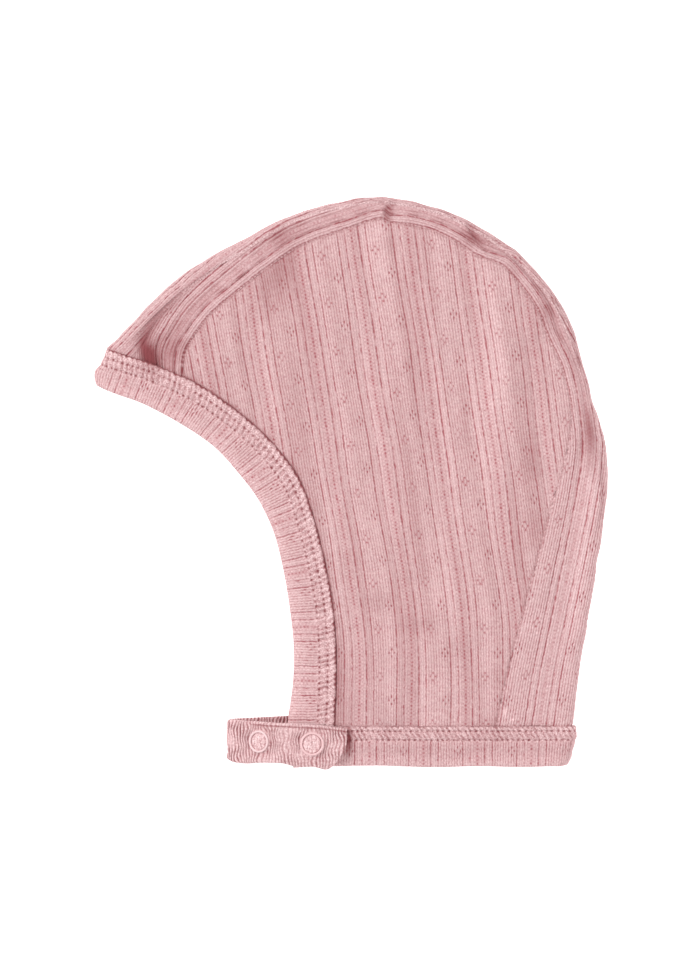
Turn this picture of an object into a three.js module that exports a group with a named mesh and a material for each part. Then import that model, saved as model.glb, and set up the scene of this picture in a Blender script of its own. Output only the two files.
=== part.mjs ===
// Baby helmet hat of fine pointelle rib knit, lying flat on its side with the wearer's left side up.
// Three knit panels, a binding round the face and one round the neck, and a chin strap on ring snaps.
// Millimetres, +Z up. X runs from the face to the nape, Y from the neck to the crown.
import * as THREE from 'three';

// ---- Driving sizes -------------------------------------------------------------------------
const cloth = 1.4; // wall of the rib knit
const band = 2.6; // a binding: the knit folded double and pressed flat
const gap = 0.3; // clear space between neighbouring pieces
const foldHalf = 4.7; // half the height of the rounded fold that runs over the head
const puff = 5.6; // how much higher the upper wall stands in mid panel than at the fold
const puffReach = 24; // distance from the fold over which it rises
const openingSag = 0.85; // share of the puff that is lost at the face and neck openings
const sagReach = 24; // distance from an opening over which it comes back
const proud = 0.5; // how far a binding stands above the panel beside it
const softEdge = 0.55; // share of the thickness that is left at a folded edge
const neckSeamY = -97.6; // where the neck binding meets the panels
const strapBand = 2.4; // the chin strap, folded double
const ringRadius = 4.75; // outside of a snap's ring
const ringHole = 3.75; // inside of it, where the cloth shows
const ringHeight = 0.8;
const capHeight = 1.6; // the plain socket and stud under the strap
const capRadius = 4.2;

// ---- Tables --------------------------------------------------------------------------------
// The centre panel, a row for each section from the forehead over the crown to the nape: its fold,
// its seam to the side panel, and the width over which it turns down to the fold.
const centreRows = [
  { foldX: -97.2, foldY: 53.6, seamX: -67.4, seamY: 43.7, turn: 4.6 },
  { foldX: -92.2, foldY: 58.2, seamX: -66.4, seamY: 51.6, turn: 4.6 },
  { foldX: -83.6, foldY: 67.4, seamX: -62.4, seamY: 59.4, turn: 4.8 },
  { foldX: -71.6, foldY: 79.2, seamX: -55.4, seamY: 68.2, turn: 5 },
  { foldX: -57.2, foldY: 89.7, seamX: -45.2, seamY: 76.9, turn: 5 },
  { foldX: -43.2, foldY: 97.2, seamX: -35, seamY: 85, turn: 5 },
  { foldX: -26, foldY: 106.2, seamX: -20.5, seamY: 94.8, turn: 5 },
  { foldX: -6, foldY: 112.2, seamX: -3.4, seamY: 101.2, turn: 4.6 },
  { foldX: 14, foldY: 114.4, seamX: 13, seamY: 105.2, turn: 4.2 },
  { foldX: 37.6, foldY: 109.2, seamX: 33, seamY: 101.4, turn: 4.2 },
  { foldX: 55.8, foldY: 100.1, seamX: 50, seamY: 92.4, turn: 4.6 },
  { foldX: 70.6, foldY: 88.2, seamX: 64.6, seamY: 83.4, turn: 4.8 },
  { foldX: 82.8, foldY: 73.2, seamX: 74.8, seamY: 70.6, turn: 5 },
  { foldX: 88.8, foldY: 61.2, seamX: 79.4, seamY: 58.8, turn: 5.4 },
  { foldX: 92.8, foldY: 49, seamX: 85, seamY: 46.6, turn: 5 },
  { foldX: 97.6, foldY: 31.4, seamX: 88.5, seamY: 31.2, turn: 6 },
  { foldX: 102.2, foldY: 14.5, seamX: 87.6, seamY: 15.2, turn: 9 },
  { foldX: 102.5, foldY: -4.8, seamX: 82.2, seamY: -4.8, turn: 11 },
  { foldX: 99, foldY: -30, seamX: 75.8, seamY: -28.4, turn: 9 },
  { foldX: 95, foldY: -55, seamX: 68.8, seamY: -54.6, turn: 7 },
  { foldX: 91.6, foldY: -75.6, seamX: 63.2, seamY: -76, turn: 5.6 },
  { foldX: 89.2, foldY: -97.3, seamX: 58.6, seamY: -97.3, turn: 4.8 },
];

// The forehead's soft dents, for the first sections of the centre panel: a deep one and a shallow
// one beside it, each placed as a share of the way from the fold to the seam, with its depth.
const dentRows = [
  { deepAt: 0.56, deep: 3.4, shallowAt: 0.8, shallow: 1.2 },
  { deepAt: 0.5, deep: 3.9, shallowAt: 0.76, shallow: 1.6 },
  { deepAt: 0.42, deep: 3.6, shallowAt: 0.72, shallow: 1.4 },
  { deepAt: 0.42, deep: 2.9, shallowAt: 0.74, shallow: 1.1 },
  { deepAt: 0.42, deep: 2.1, shallowAt: 0.76, shallow: 0.6 },
  { deepAt: 0.44, deep: 1, shallowAt: 0.76, shallow: 0.2 },
  { deepAt: 0.5, deep: 0, shallowAt: 0.76, shallow: 0 },
];

// The face binding on one side, a row for each section from the neck up to the fold at the
// forehead: its free edge at the face and the edge that is sewn to the panels.
const faceRows = [
  { edgeX: -25.4, edgeY: -97.3, sewnX: -6.8, sewnY: -97.3 },
  { edgeX: -23, edgeY: -81, sewnX: -6.1, sewnY: -81 },
  { edgeX: -22.6, edgeY: -66, sewnX: -6.1, sewnY: -66.4 },
  { edgeX: -24.2, edgeY: -50, sewnX: -7.4, sewnY: -49 },
  { edgeX: -26.8, edgeY: -34.6, sewnX: -10.6, sewnY: -31.6 },
  { edgeX: -30.6, edgeY: -19.8, sewnX: -14.9, sewnY: -14.6 },
  { edgeX: -36.6, edgeY: -7, sewnX: -20.8, sewnY: 1.4 },
  { edgeX: -44.6, edgeY: 3.8, sewnX: -30.6, sewnY: 14.8 },
  { edgeX: -54.8, edgeY: 14.8, sewnX: -43.2, sewnY: 26.6 },
  { edgeX: -68, edgeY: 23.8, sewnX: -59.2, sewnY: 38 },
  { edgeX: -82.6, edgeY: 31.6, sewnX: -76.6, sewnY: 46.2 },
  { edgeX: -93.6, edgeY: 35.6, sewnX: -88.2, sewnY: 50.1 },
  { edgeX: -102.8, edgeY: 39.2, sewnX: -97.4, sewnY: 53.3 },
];

// The neck binding on one side, from the front corner back to the fold at the nape.
const neckRows = [
  { edgeX: -22.6, edgeY: -114, sewnX: -25.4, sewnY: -97.6 },
  { edgeX: -8, edgeY: -113.5, sewnX: -8, sewnY: -97.6 },
  { edgeX: 12, edgeY: -113.2, sewnX: 12, sewnY: -97.6 },
  { edgeX: 32, edgeY: -113.8, sewnX: 32, sewnY: -97.6 },
  { edgeX: 52, edgeY: -113.4, sewnX: 52, sewnY: -97.6 },
  { edgeX: 68, edgeY: -113.7, sewnX: 68.4, sewnY: -97.6 },
  { edgeX: 80, edgeY: -113.4, sewnX: 81, sewnY: -97.6 },
  { edgeX: 88.4, edgeY: -113.4, sewnX: 90.2, sewnY: -97.6 },
];

// The chin strap, from the far front corner out to its bend and back over the near corner: the
// middle of its thickness, and its two long edges. It rises to the snap and droops to its tip.
const strapRows = [
  { x: -25.8, z: 1.2, topY: -93.4, lowY: -111.8 },
  { x: -34, z: 1.2, topY: -93.8, lowY: -111.5 },
  { x: -42, z: 1.28, topY: -94.2, lowY: -111.3 },
  { x: -46.4, z: 1.7, topY: -94.4, lowY: -111.2 },
  { x: -48, z: 3.7, topY: -94.6, lowY: -111 },
  { x: -46.4, z: 6, topY: -94.7, lowY: -111.8 },
  { x: -41.4, z: 8.7, topY: -95, lowY: -112.2 },
  { x: -36.6, z: 11.5, topY: -95.2, lowY: -111.8 },
  { x: -31.8, z: 14, topY: -95.5, lowY: -111.7 },
  { x: -26.6, z: 15.6, topY: -95.7, lowY: -111.9 },
  { x: -20.4, z: 16.1, topY: -96, lowY: -113.4 },
  { x: -15.2, z: 16.1, topY: -96.3, lowY: -113.1 },
  { x: -10, z: 15.9, topY: -96.7, lowY: -114.3 },
  { x: -7.4, z: 15.5, topY: -97, lowY: -113.4 },
  { x: -4.6, z: 15, topY: -97.4, lowY: -110.4 },
  { x: -2.2, z: 14.6, topY: -97.8, lowY: -106.4 },
  { x: -1.2, z: 14.4, topY: -98, lowY: -102.6 },
];
const freeSnapPlace = 7.2; // where the unfastened snap sits, counted in rows of the strap
const fastSnapPlace = 11; // where the fastened snap sits

// ---- Helpers -------------------------------------------------------------------------------
const clamp = THREE.MathUtils.clamp;
const lerp = THREE.MathUtils.lerp;

/** A table's columns at any place between its rows, on a smooth curve through the rows. */
function rowAt(table, place) {
  const first = clamp(Math.floor(place), 0, table.length - 2);
  const share = place - first;
  const near = [-1, 0, 1, 2].map((step) => table[clamp(first + step, 0, table.length - 1)]);
  const row = {};
  for (const column of Object.keys(table[0])) {
    const [before, from, to, after] = near.map((entry) => entry[column]);
    const slopeFrom = (to - before) / 2;
    const slopeTo = (after - from) / 2;
    const bend = 3 * (to - from) - 2 * slopeFrom - slopeTo;
    const twist = 2 * (from - to) + slopeFrom + slopeTo;
    row[column] = from + share * (slopeFrom + share * (bend + share * twist));
  }
  return row;
}

/** Places along a table: the given number of steps between each row and the next. */
function placesAlong(table, steps) {
  const count = (table.length - 1) * steps;
  return Array.from({ length: count + 1 }, (_, i) => i / steps);
}

/** The points of a table's curve in plan, through the two named columns. */
function curveOf(table, columnX, columnY, steps) {
  return placesAlong(table, steps).map((place) => {
    const row = rowAt(table, place);
    return new THREE.Vector2(row[columnX], row[columnY]);
  });
}

/** The shortest distance from a point in plan to a chain of points. */
function distanceTo(chain, point) {
  let least = Infinity;
  for (let i = 1; i < chain.length; i += 1) {
    const along = chain[i].clone().sub(chain[i - 1]);
    const share = clamp(point.clone().sub(chain[i - 1]).dot(along) / along.lengthSq(), 0, 1);
    least = Math.min(least, point.distanceTo(chain[i - 1].clone().addScaledVector(along, share)));
  }
  return least;
}

/** The x at which a chain crosses a level y, keeping to the part of the chain that is given. */
function crossingAt(chain, y) {
  for (let i = 1; i < chain.length; i += 1) {
    const [a, b] = [chain[i - 1], chain[i]];
    if ((a.y - y) * (b.y - y) <= 0 && a.y !== b.y) {
      return lerp(a.x, b.x, (y - a.y) / (b.y - a.y));
    }
  }
  throw new Error(`no crossing at ${y}`);
}

/**
 * A closed wall from two grids of points of the same size, its outer and its inner skin, with a
 * rim all round. The outer grid is seen from outside with its rows up and its columns to the right.
 */
function wallBetween(outer, inner) {
  const rows = outer.length;
  const columns = outer[0].length;
  const points = [...outer.flat(), ...inner.flat()];
  const at = (skin, i, j) => skin * rows * columns + i * columns + j;
  const faces = [];
  const quad = (a, b, c, d) => faces.push(a, b, c, a, c, d);
  for (let i = 0; i < rows - 1; i += 1) {
    for (let j = 0; j < columns - 1; j += 1) {
      quad(at(0, i, j), at(0, i, j + 1), at(0, i + 1, j + 1), at(0, i + 1, j));
      quad(at(1, i, j), at(1, i + 1, j), at(1, i + 1, j + 1), at(1, i, j + 1));
    }
  }
  for (let j = 0; j < columns - 1; j += 1) {
    quad(at(1, 0, j), at(1, 0, j + 1), at(0, 0, j + 1), at(0, 0, j));
    quad(at(0, rows - 1, j), at(0, rows - 1, j + 1), at(1, rows - 1, j + 1), at(1, rows - 1, j));
  }
  for (let i = 0; i < rows - 1; i += 1) {
    const last = columns - 1;
    quad(at(0, i, 0), at(0, i + 1, 0), at(1, i + 1, 0), at(1, i, 0));
    quad(at(1, i, last), at(1, i + 1, last), at(0, i + 1, last), at(0, i, last));
  }
  const geometry = new THREE.BufferGeometry().setFromPoints(points);
  geometry.setIndex(faces);
  geometry.computeVertexNormals();
  return geometry;
}

// ---- Heights -------------------------------------------------------------------------------
const foldChain = curveOf(centreRows, 'foldX', 'foldY', 4);
const faceEdgeChain = curveOf(faceRows, 'edgeX', 'edgeY', 4);
const neckEdgeChain = curveOf(neckRows, 'edgeX', 'edgeY', 2);
const shoulder = 2 * foldHalf;
const shoulderIn = 5; // distance from the fold at which the upper wall starts to puff

/** The height of the upper wall's outer face over a point in plan. */
function upperHeight(x, y) {
  const point = new THREE.Vector2(x, y);
  const inFromFold = Math.max(distanceTo(foldChain, point) - shoulderIn, 0);
  const inFromOpening = Math.min(distanceTo(faceEdgeChain, point), distanceTo(neckEdgeChain, point));
  const rise = puff * (1 - Math.exp(-inFromFold / puffReach));
  return shoulder + rise * (1 - openingSag * Math.exp(-inFromOpening / sagReach));
}

/** A smooth hollow of unit depth at a place, fading out over the given half width. */
function hollow(share, place, halfWidth) {
  const away = clamp(Math.abs(share - place) / halfWidth, 0, 1);
  return (1 + Math.cos(Math.PI * away)) / 2;
}

/**
 * One point of a wall that turns round the fold. side is 1 above and -1 below, and angle runs from
 * 0 on the fold to a quarter turn where the wall lies level. The thickness goes inwards.
 */
function roundFold(angle, side, turn, thickness) {
  return {
    outerIn: turn * (1 - Math.cos(angle)),
    outerZ: foldHalf * (1 + side * Math.sin(angle)),
    innerIn: turn - (turn - thickness) * Math.cos(angle),
    innerZ: foldHalf + side * (foldHalf - thickness) * Math.sin(angle),
  };
}

// ---- Centre panel --------------------------------------------------------------------------
const foldSteps = 4; // steps of the quarter turn on each side of the fold
const centreSteps = 3; // sections between one row of the table and the next
const deepHalfWidth = 0.26; // half the width of a dent, as a share of the way from fold to seam
const shallowHalfWidth = 0.16;
const levelShares = [0.14, 0.28, 0.42, 0.56, 0.7, 0.84, 1]; // points across the upper side
const levelSharesBelow = [0.5, 1]; // and across the flat under side

/** One point of the centre panel's level part, share of the way from its turn to the seam. */
function centreLevel(row, dents, share, side) {
  const width = Math.hypot(row.seamX - row.foldX, row.seamY - row.foldY);
  const inward = lerp(row.turn, width - gap / 2, share);
  const along = inward / width;
  const x = lerp(row.foldX, row.seamX, along);
  const y = lerp(row.foldY, row.seamY, along);
  if (side < 0) {
    return { outer: new THREE.Vector3(x, y, 0), inner: new THREE.Vector3(x, y, cloth) };
  }
  const seamHeight = upperHeight(row.seamX, row.seamY);
  const sunk = dents.deep * hollow(along, dents.deepAt, deepHalfWidth)
    + dents.shallow * hollow(along, dents.shallowAt, shallowHalfWidth);
  const height = lerp(shoulder, seamHeight, THREE.MathUtils.smoothstep(share, 0, 1)) - sunk;
  return { outer: new THREE.Vector3(x, y, height), inner: new THREE.Vector3(x, y, height - cloth) };
}

/** A whole section of the centre panel, from the far seam under the hat to the near seam. */
function centreSection(place) {
  const row = rowAt(centreRows, place);
  const dents = rowAt(dentRows, Math.min(place, dentRows.length - 1));
  const width = Math.hypot(row.seamX - row.foldX, row.seamY - row.foldY);
  const turned = (step) => {
    const angle = (Math.abs(step) / foldSteps) * (Math.PI / 2);
    const at = roundFold(angle, Math.sign(step), row.turn, cloth);
    const pointAt = (inward, z) => new THREE.Vector3(
      lerp(row.foldX, row.seamX, inward / width),
      lerp(row.foldY, row.seamY, inward / width),
      z,
    );
    return { outer: pointAt(at.outerIn, at.outerZ), inner: pointAt(at.innerIn, at.innerZ) };
  };
  const section = levelSharesBelow.toReversed().map((share) => centreLevel(row, dents, share, -1));
  for (let step = -foldSteps; step <= foldSteps; step += 1) {
    section.push(turned(step));
  }
  section.push(...levelShares.map((share) => centreLevel(row, dents, share, 1)));
  return section;
}

function centrePanel() {
  const sections = placesAlong(centreRows, centreSteps).map(centreSection);
  return wallBetween(
    sections.map((section) => section.map((point) => point.outer)),
    sections.map((section) => section.map((point) => point.inner)),
  );
}

// ---- Side panels ---------------------------------------------------------------------------
const seamChain = curveOf(centreRows, 'seamX', 'seamY', 4);
const crownAt = seamChain.reduce((best, point, i) => (point.y > seamChain[best].y ? i : best), 0);
const frontSeam = seamChain.slice(0, crownAt + 1);
const backSeam = seamChain.slice(crownAt);
const faceSewnChain = curveOf(faceRows, 'sewnX', 'sewnY', 4);
const seamStart = seamChain[0];
const panelTopY = seamChain[crownAt].y - gap;

/** Where a side panel starts and ends across the hat, at the level y. */
function panelReach(y) {
  const front = y > seamStart.y ? crossingAt(frontSeam, y) : crossingAt(faceSewnChain, y);
  const back = crossingAt(backSeam, y);
  const clear = Math.min(gap * 2, (back - front) / 4);
  return { front: front + clear, back: back - clear };
}

/** The levels of a side panel's rows, close together at the crown where its outline turns. */
function panelLevels(count) {
  const bottom = neckSeamY + gap;
  const levels = [];
  for (let i = 0; i <= count; i += 1) {
    levels.push(lerp(bottom, panelTopY, Math.sin((i / count) * (Math.PI / 2))));
  }
  return levels;
}

function sidePanel(side) {
  const rows = side > 0 ? 40 : 30;
  const columns = side > 0 ? 16 : 8;
  const outer = [];
  const inner = [];
  for (const y of panelLevels(rows)) {
    const { front, back } = panelReach(y);
    const line = Array.from({ length: columns + 1 }, (_, j) => lerp(front, back, j / columns));
    const top = line.map((x) => (side > 0 ? upperHeight(x, y) : cloth));
    const upperSkin = line.map((x, j) => new THREE.Vector3(x, y, top[j]));
    const lowerSkin = line.map((x, j) => new THREE.Vector3(x, y, top[j] - cloth));
    outer.push(upperSkin);
    inner.push(lowerSkin);
  }
  return wallBetween(outer, inner);
}

// ---- Bindings ------------------------------------------------------------------------------
// Across a binding: the share of its width, the thickness there, and how proud it stands.
const acrossBand = [
  { share: 0, thick: softEdge },
  { share: 0.08, thick: 1 },
  { share: 0.55, thick: 1 },
  { share: 0.92, thick: 1 },
  { share: 1, thick: 0.75 },
];

/** A point of a binding's upper or lower run, in plan and with its two skins. */
function bandPoint(row, across, side) {
  const x = lerp(row.edgeX, row.sewnX, across.share);
  const y = lerp(row.edgeY, row.sewnY, across.share);
  const lost = (band * (1 - across.thick)) / 2;
  const top = side > 0 ? upperHeight(x, y) + proud : band;
  const upper = new THREE.Vector3(x, y, top - (side > 0 ? lost : 2 * lost));
  const lower = new THREE.Vector3(x, y, top - band + (side > 0 ? lost : 0));
  return side > 0 ? { outer: upper, inner: lower } : { outer: lower, inner: upper };
}

/** A binding that runs along the upper side, turns round the fold and comes back underneath. */
function foldedBand(table, steps) {
  const last = table.length - 1;
  const before = rowAt(table, last - 1);
  const fold = rowAt(table, last);
  const run = placesAlong(table.slice(0, last), steps);
  const outer = [];
  const inner = [];
  const add = (points) => {
    outer.push(points.map((point) => point.outer));
    inner.push(points.map((point) => point.inner));
  };
  run.forEach((place) => add(acrossBand.map((across) => bandPoint(rowAt(table, place), across, 1))));
  for (let step = foldSteps; step >= -foldSteps; step -= 1) {
    const angle = (Math.abs(step) / foldSteps) * (Math.PI / 2);
    add(acrossBand.map((across) => {
      const thickness = band * across.thick;
      const from = new THREE.Vector2(
        lerp(fold.edgeX, fold.sewnX, across.share),
        lerp(fold.edgeY, fold.sewnY, across.share),
      );
      const towards = new THREE.Vector2(
        lerp(before.edgeX, before.sewnX, across.share),
        lerp(before.edgeY, before.sewnY, across.share),
      ).sub(from).normalize();
      const at = roundFold(angle, Math.sign(step), foldHalf, thickness);
      const outerAt = from.clone().addScaledVector(towards, at.outerIn);
      const innerAt = from.clone().addScaledVector(towards, at.innerIn);
      return {
        outer: new THREE.Vector3(outerAt.x, outerAt.y, at.outerZ),
        inner: new THREE.Vector3(innerAt.x, innerAt.y, at.innerZ),
      };
    }));
  }
  run.toReversed().forEach((place) => {
    add(acrossBand.map((across) => bandPoint(rowAt(table, place), across, -1)));
  });
  return { outer, inner };
}

// ---- Chin strap ----------------------------------------------------------------------------
/** The strap's middle line at a place along its table, and the direction square to its faces. */
function strapFrame(place) {
  const reach = 0.05;
  const row = rowAt(strapRows, place);
  const behind = rowAt(strapRows, Math.max(place - reach, 0));
  const ahead = rowAt(strapRows, Math.min(place + reach, strapRows.length - 1));
  const along = new THREE.Vector3(ahead.x - behind.x, 0, ahead.z - behind.z).normalize();
  const outward = new THREE.Vector3(-along.z, 0, along.x);
  return { row, along, outward };
}

function chinStrap() {
  const outer = [];
  const inner = [];
  const acrossStrap = [
    { share: 0, thick: softEdge },
    { share: 0.07, thick: 1 },
    { share: 0.5, thick: 1 },
    { share: 0.93, thick: 1 },
    { share: 1, thick: softEdge },
  ];
  for (const place of placesAlong(strapRows, 2)) {
    const { row, outward } = strapFrame(place);
    const skin = (half) => acrossStrap.map((across) => (
      new THREE.Vector3(row.x, lerp(row.lowY, row.topY, across.share), row.z)
        .addScaledVector(outward, half * across.thick * (strapBand / 2))
    ));
    outer.push(skin(1));
    inner.push(skin(-1));
  }
  return wallBetween(inner, outer);
}

// ---- Snaps ---------------------------------------------------------------------------------
/** A round cap or ring turned about its own axis, from the radii and heights of its profile. */
function turnedPiece(profile) {
  const sides = 28;
  const points = profile.map(([radius, height]) => new THREE.Vector2(radius, height));
  return new THREE.LatheGeometry(points, sides).rotateX(Math.PI / 2);
}

function ringProfile() {
  const middle = (ringRadius + ringHole) / 2;
  return [
    [ringHole, 0],
    [ringRadius, 0],
    [ringRadius, ringHeight * 0.55],
    [middle + 0.2, ringHeight],
    [middle - 0.2, ringHeight],
    [ringHole, ringHeight * 0.55],
    [ringHole, 0],
  ];
}

function capProfile() {
  return [
    [0, 0],
    [capRadius, 0],
    [capRadius, capHeight],
    [0, capHeight],
  ];
}

// ---- Assembly ------------------------------------------------------------------------------
const hat = new THREE.Group();
hat.name = 'helmet_hat';

const knit = { roughness: 0.92, metalness: 0 };
const lacquer = { roughness: 0.28, metalness: 0 };

function add(name, geometry, color, finish) {
  const mesh = new THREE.Mesh(geometry, new THREE.MeshStandardMaterial({ color, ...finish }));
  mesh.name = name;
  hat.add(mesh);
  return mesh;
}

/** Seats a snap's piece on a face of the strap: 1 on its outer face, -1 on its inner face. */
function seatOnStrap(mesh, place, side, y, depth) {
  const { row, outward } = strapFrame(place);
  const lift = strapBand / 2 + gap + (side < 0 ? depth : 0);
  const up = outward.clone().multiplyScalar(outward.z < 0 ? -1 : 1);
  mesh.quaternion.setFromUnitVectors(new THREE.Vector3(0, 0, 1), up);
  mesh.position.set(row.x, y, row.z).addScaledVector(up, side * lift);
}

const faceBand = foldedBand(faceRows, 2);
const neckBand = foldedBand(neckRows, 2);

add('side_panel_left', sidePanel(1), '#d8adae', knit);
add('side_panel_right', sidePanel(-1), '#d8adae', knit);
add('centre_panel', centrePanel(), '#daaeaf', knit);
add('face_binding', wallBetween(faceBand.outer, faceBand.inner), '#ddb1b2', knit);
add('neck_binding', wallBetween(neckBand.inner, neckBand.outer), '#d9acad', knit);
add('chin_strap', chinStrap(), '#e1b6b8', knit);

const snaps = [
  { name: 'free', place: freeSnapPlace, y: -103.2 },
  { name: 'fastened', place: fastSnapPlace, y: -104 },
];
for (const snap of snaps) {
  const ring = add(`snap_ring_${snap.name}`, turnedPiece(ringProfile()), '#f6dede', lacquer);
  const cap = add(`snap_cap_${snap.name}`, turnedPiece(capProfile()), '#f2d5d6', lacquer);
  seatOnStrap(ring, snap.place, 1, snap.y, 0);
  seatOnStrap(cap, snap.place, -1, snap.y, capHeight);
}

export default hat;
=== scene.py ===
# %% [markdown]
# # A baby's helmet hat in pointelle rib knit
# The hat lies flat on its side. Three knit panels make the head, one binding goes round the face
# and one round the neck, and a chin strap closes on ring snaps. Each step below builds one of
# these pieces and hides the imported solid that it stands for.
# %% Load the frame
import math
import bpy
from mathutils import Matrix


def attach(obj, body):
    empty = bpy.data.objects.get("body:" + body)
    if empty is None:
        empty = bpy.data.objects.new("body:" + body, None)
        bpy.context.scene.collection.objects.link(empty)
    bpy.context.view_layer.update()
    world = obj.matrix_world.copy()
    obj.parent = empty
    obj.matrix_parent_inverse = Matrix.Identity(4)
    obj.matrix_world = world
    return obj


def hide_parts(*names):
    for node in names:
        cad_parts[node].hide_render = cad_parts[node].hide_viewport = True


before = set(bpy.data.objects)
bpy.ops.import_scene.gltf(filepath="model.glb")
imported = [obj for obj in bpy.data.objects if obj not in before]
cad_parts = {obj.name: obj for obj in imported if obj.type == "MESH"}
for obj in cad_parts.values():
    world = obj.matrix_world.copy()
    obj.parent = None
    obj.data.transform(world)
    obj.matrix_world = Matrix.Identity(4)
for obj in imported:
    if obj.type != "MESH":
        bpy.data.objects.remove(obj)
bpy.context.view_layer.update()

from types import SimpleNamespace

import bpy
import numpy as np

MM = 0.001

# %% [markdown]
# ## Camera, floor and light
# The hat is seen from straight above. A long lens far away keeps the knit free of perspective,
# as a product picture needs. The floor is the plain white top of a light table, which glows a
# little and so shows hardly any cast shadow. The light is a soft white sky with two wide lamps,
# the stronger one to the left, so that every rib has a lit side and a shaded one.
# %% Camera
FRAME_HEIGHT = 0.392  # what the picture shows from bottom to top, in metres like the other three
SENSOR = 0.036
LENS = 0.240
AIM = (0.0, -0.0028, 0.008)


def linked(name, data):
    """A new object with its data, linked into the scene at the origin."""
    made = bpy.data.objects.new(name, data)
    bpy.context.scene.collection.objects.link(made)
    return made


def add_camera():
    """A camera straight above the aim, at the distance where the frame's height fills the sensor."""
    data = bpy.data.cameras.new("camera")
    data.lens = LENS / MM
    data.sensor_width = SENSOR / MM
    data.clip_start, data.clip_end = 0.1, 20
    camera = linked("camera", data)
    distance = FRAME_HEIGHT * LENS / SENSOR
    camera.location = (AIM[0], AIM[1], AIM[2] + distance)
    bpy.context.scene.camera = camera
    return distance


print("camera distance", round(add_camera(), 3), "m")


# %% Floor
def new_material(name, finish):
    """A material of one Principled shader, with its inputs set from a table of names and values:
    (material, its node tree, its shader)."""
    material = bpy.data.materials.new(name)
    material.use_nodes = True
    tree = material.node_tree
    shader = tree.nodes["Principled BSDF"]
    for label, value in finish.items():
        shader.inputs[label].default_value = value
    return material, tree, shader


def add_floor(half=3.0, drop=0.0002):
    """A large square sheet just under the hat, matt, nearly white and glowing a little."""
    corners = [(-half, -half, -drop), (half, -half, -drop), (half, half, -drop), (-half, half, -drop)]
    mesh = bpy.data.meshes.new("floor")
    mesh.from_pydata(corners, [], [(0, 1, 2, 3)])
    mesh.materials.append(new_material("pale_floor", {
        "Base Color": (0.93, 0.93, 0.93, 1),
        "Roughness": 0.9,
        "Specular IOR Level": 0.1,
        "Emission Color": (1, 1, 1, 1),
        "Emission Strength": 0.6,
    })[0])
    floor = linked("floor", mesh)


add_floor()


# %% Light
def add_lamp(name, place, size, watts):
    """A square area lamp at a place, turned to face the hat."""
    data = bpy.data.lights.new(name, "AREA")
    data.size = size
    data.energy = watts
    lamp = linked(name, data)
    lamp.location = place
    x, y, z = place
    lamp.rotation_euler = (math.atan2(math.hypot(x, y), z), 0, math.atan2(x, -y))


def add_sky(strength):
    """An even world, nearly white, which fills every hollow with a little light."""
    world = bpy.data.worlds.new("white_sky")
    world.use_nodes = True
    sky = world.node_tree.nodes["Background"]
    sky.inputs["Color"].default_value = (1, 0.93, 0.93, 1)
    sky.inputs["Strength"].default_value = strength
    bpy.context.scene.world = world


add_sky(0.55)
add_lamp("key", (-2.6, 1.5, 3.0), 1.7, 106)
add_lamp("fill", (2.6, -0.8, 3.2), 2.4, 69)
bpy.context.scene.view_settings.view_transform = "Standard"
bpy.context.scene.view_settings.look = "None"

# %% [markdown]
# ## The outlines and the way the hat lies
# A paper pattern is a set of lines, and so is this one. Each table has a row for a section of the
# hat and a column for each line, in millimetres. A smooth curve goes through the rows, so that a
# section can be taken at any place between them.
# %% Sizes
CLOTH = 1.4  # wall of the rib knit
BAND = 2.6  # a binding, folded double
FOLD_HALF = 4.7  # half the height of the rounded fold over the head
SHOULDER = 2 * FOLD_HALF  # height of the near side where it leaves the fold
PUFF, PUFF_REACH, SHOULDER_IN = 5.6, 24, 5  # how much more it rises, over what way, from where
OPENING_SAG, SAG_REACH = 0.85, 24  # the share of that lost at an opening, and how far in
PROUD = 0.5  # how far a binding stands above the panels
STRAP_BAND = 2.4  # the strap, folded double

# %% Tables
# fold x, fold y, seam x, seam y, turn: from the forehead over the crown to the nape
CENTRE = np.array([
    (-97.2, 53.6, -67.2, 42.0, 4.6),
    (-92.2, 58.2, -66.4, 51.6, 4.6),
    (-83.6, 67.4, -62.4, 59.4, 4.8),
    (-71.6, 79.2, -55.4, 68.2, 5),
    (-57.2, 89.7, -45.2, 76.9, 5),
    (-43.2, 97.2, -35, 85, 5),
    (-26, 106.2, -20.5, 94.8, 5),
    (-6, 112.2, -3.4, 101.2, 4.6),
    (14, 114.4, 13, 105.2, 4.2),
    (37.6, 109.2, 33, 101.4, 4.2),
    (55.8, 100.1, 50, 92.4, 4.6),
    (70.6, 88.2, 64.6, 83.4, 4.8),
    (82.8, 73.2, 74.8, 70.6, 5),
    (88.8, 61.2, 79.4, 58.8, 5.4),
    (92.8, 49, 85, 46.6, 5),
    (97.6, 31.4, 88.5, 31.2, 6),
    (102.2, 14.5, 87.6, 15.2, 9),
    (102.5, -4.8, 82.2, -4.8, 11),
    (99, -30, 75.8, -28.4, 9),
    (95, -55, 68.8, -54.6, 7),
    (91.6, -75.6, 63.2, -76, 5.6),
    (89.2, -97.7, 58.6, -97.7, 4.8),
])
# where the deep dent is, its depth, where the shallow dent is, its depth
DENTS = np.array([
    (0.56, 2.2, 0.75, 0.2),
    (0.4, 1.3, 0.6, 0.3),
    (0.34, 0.8, 0.64, 0.3),
    (0.32, 0.5, 0.66, 0.2),
    (0.3, 0.3, 0.7, 0.2),
    (0.3, 0.1, 0.74, 0.1),
    (0.4, 0, 0.76, 0),
])
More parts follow.
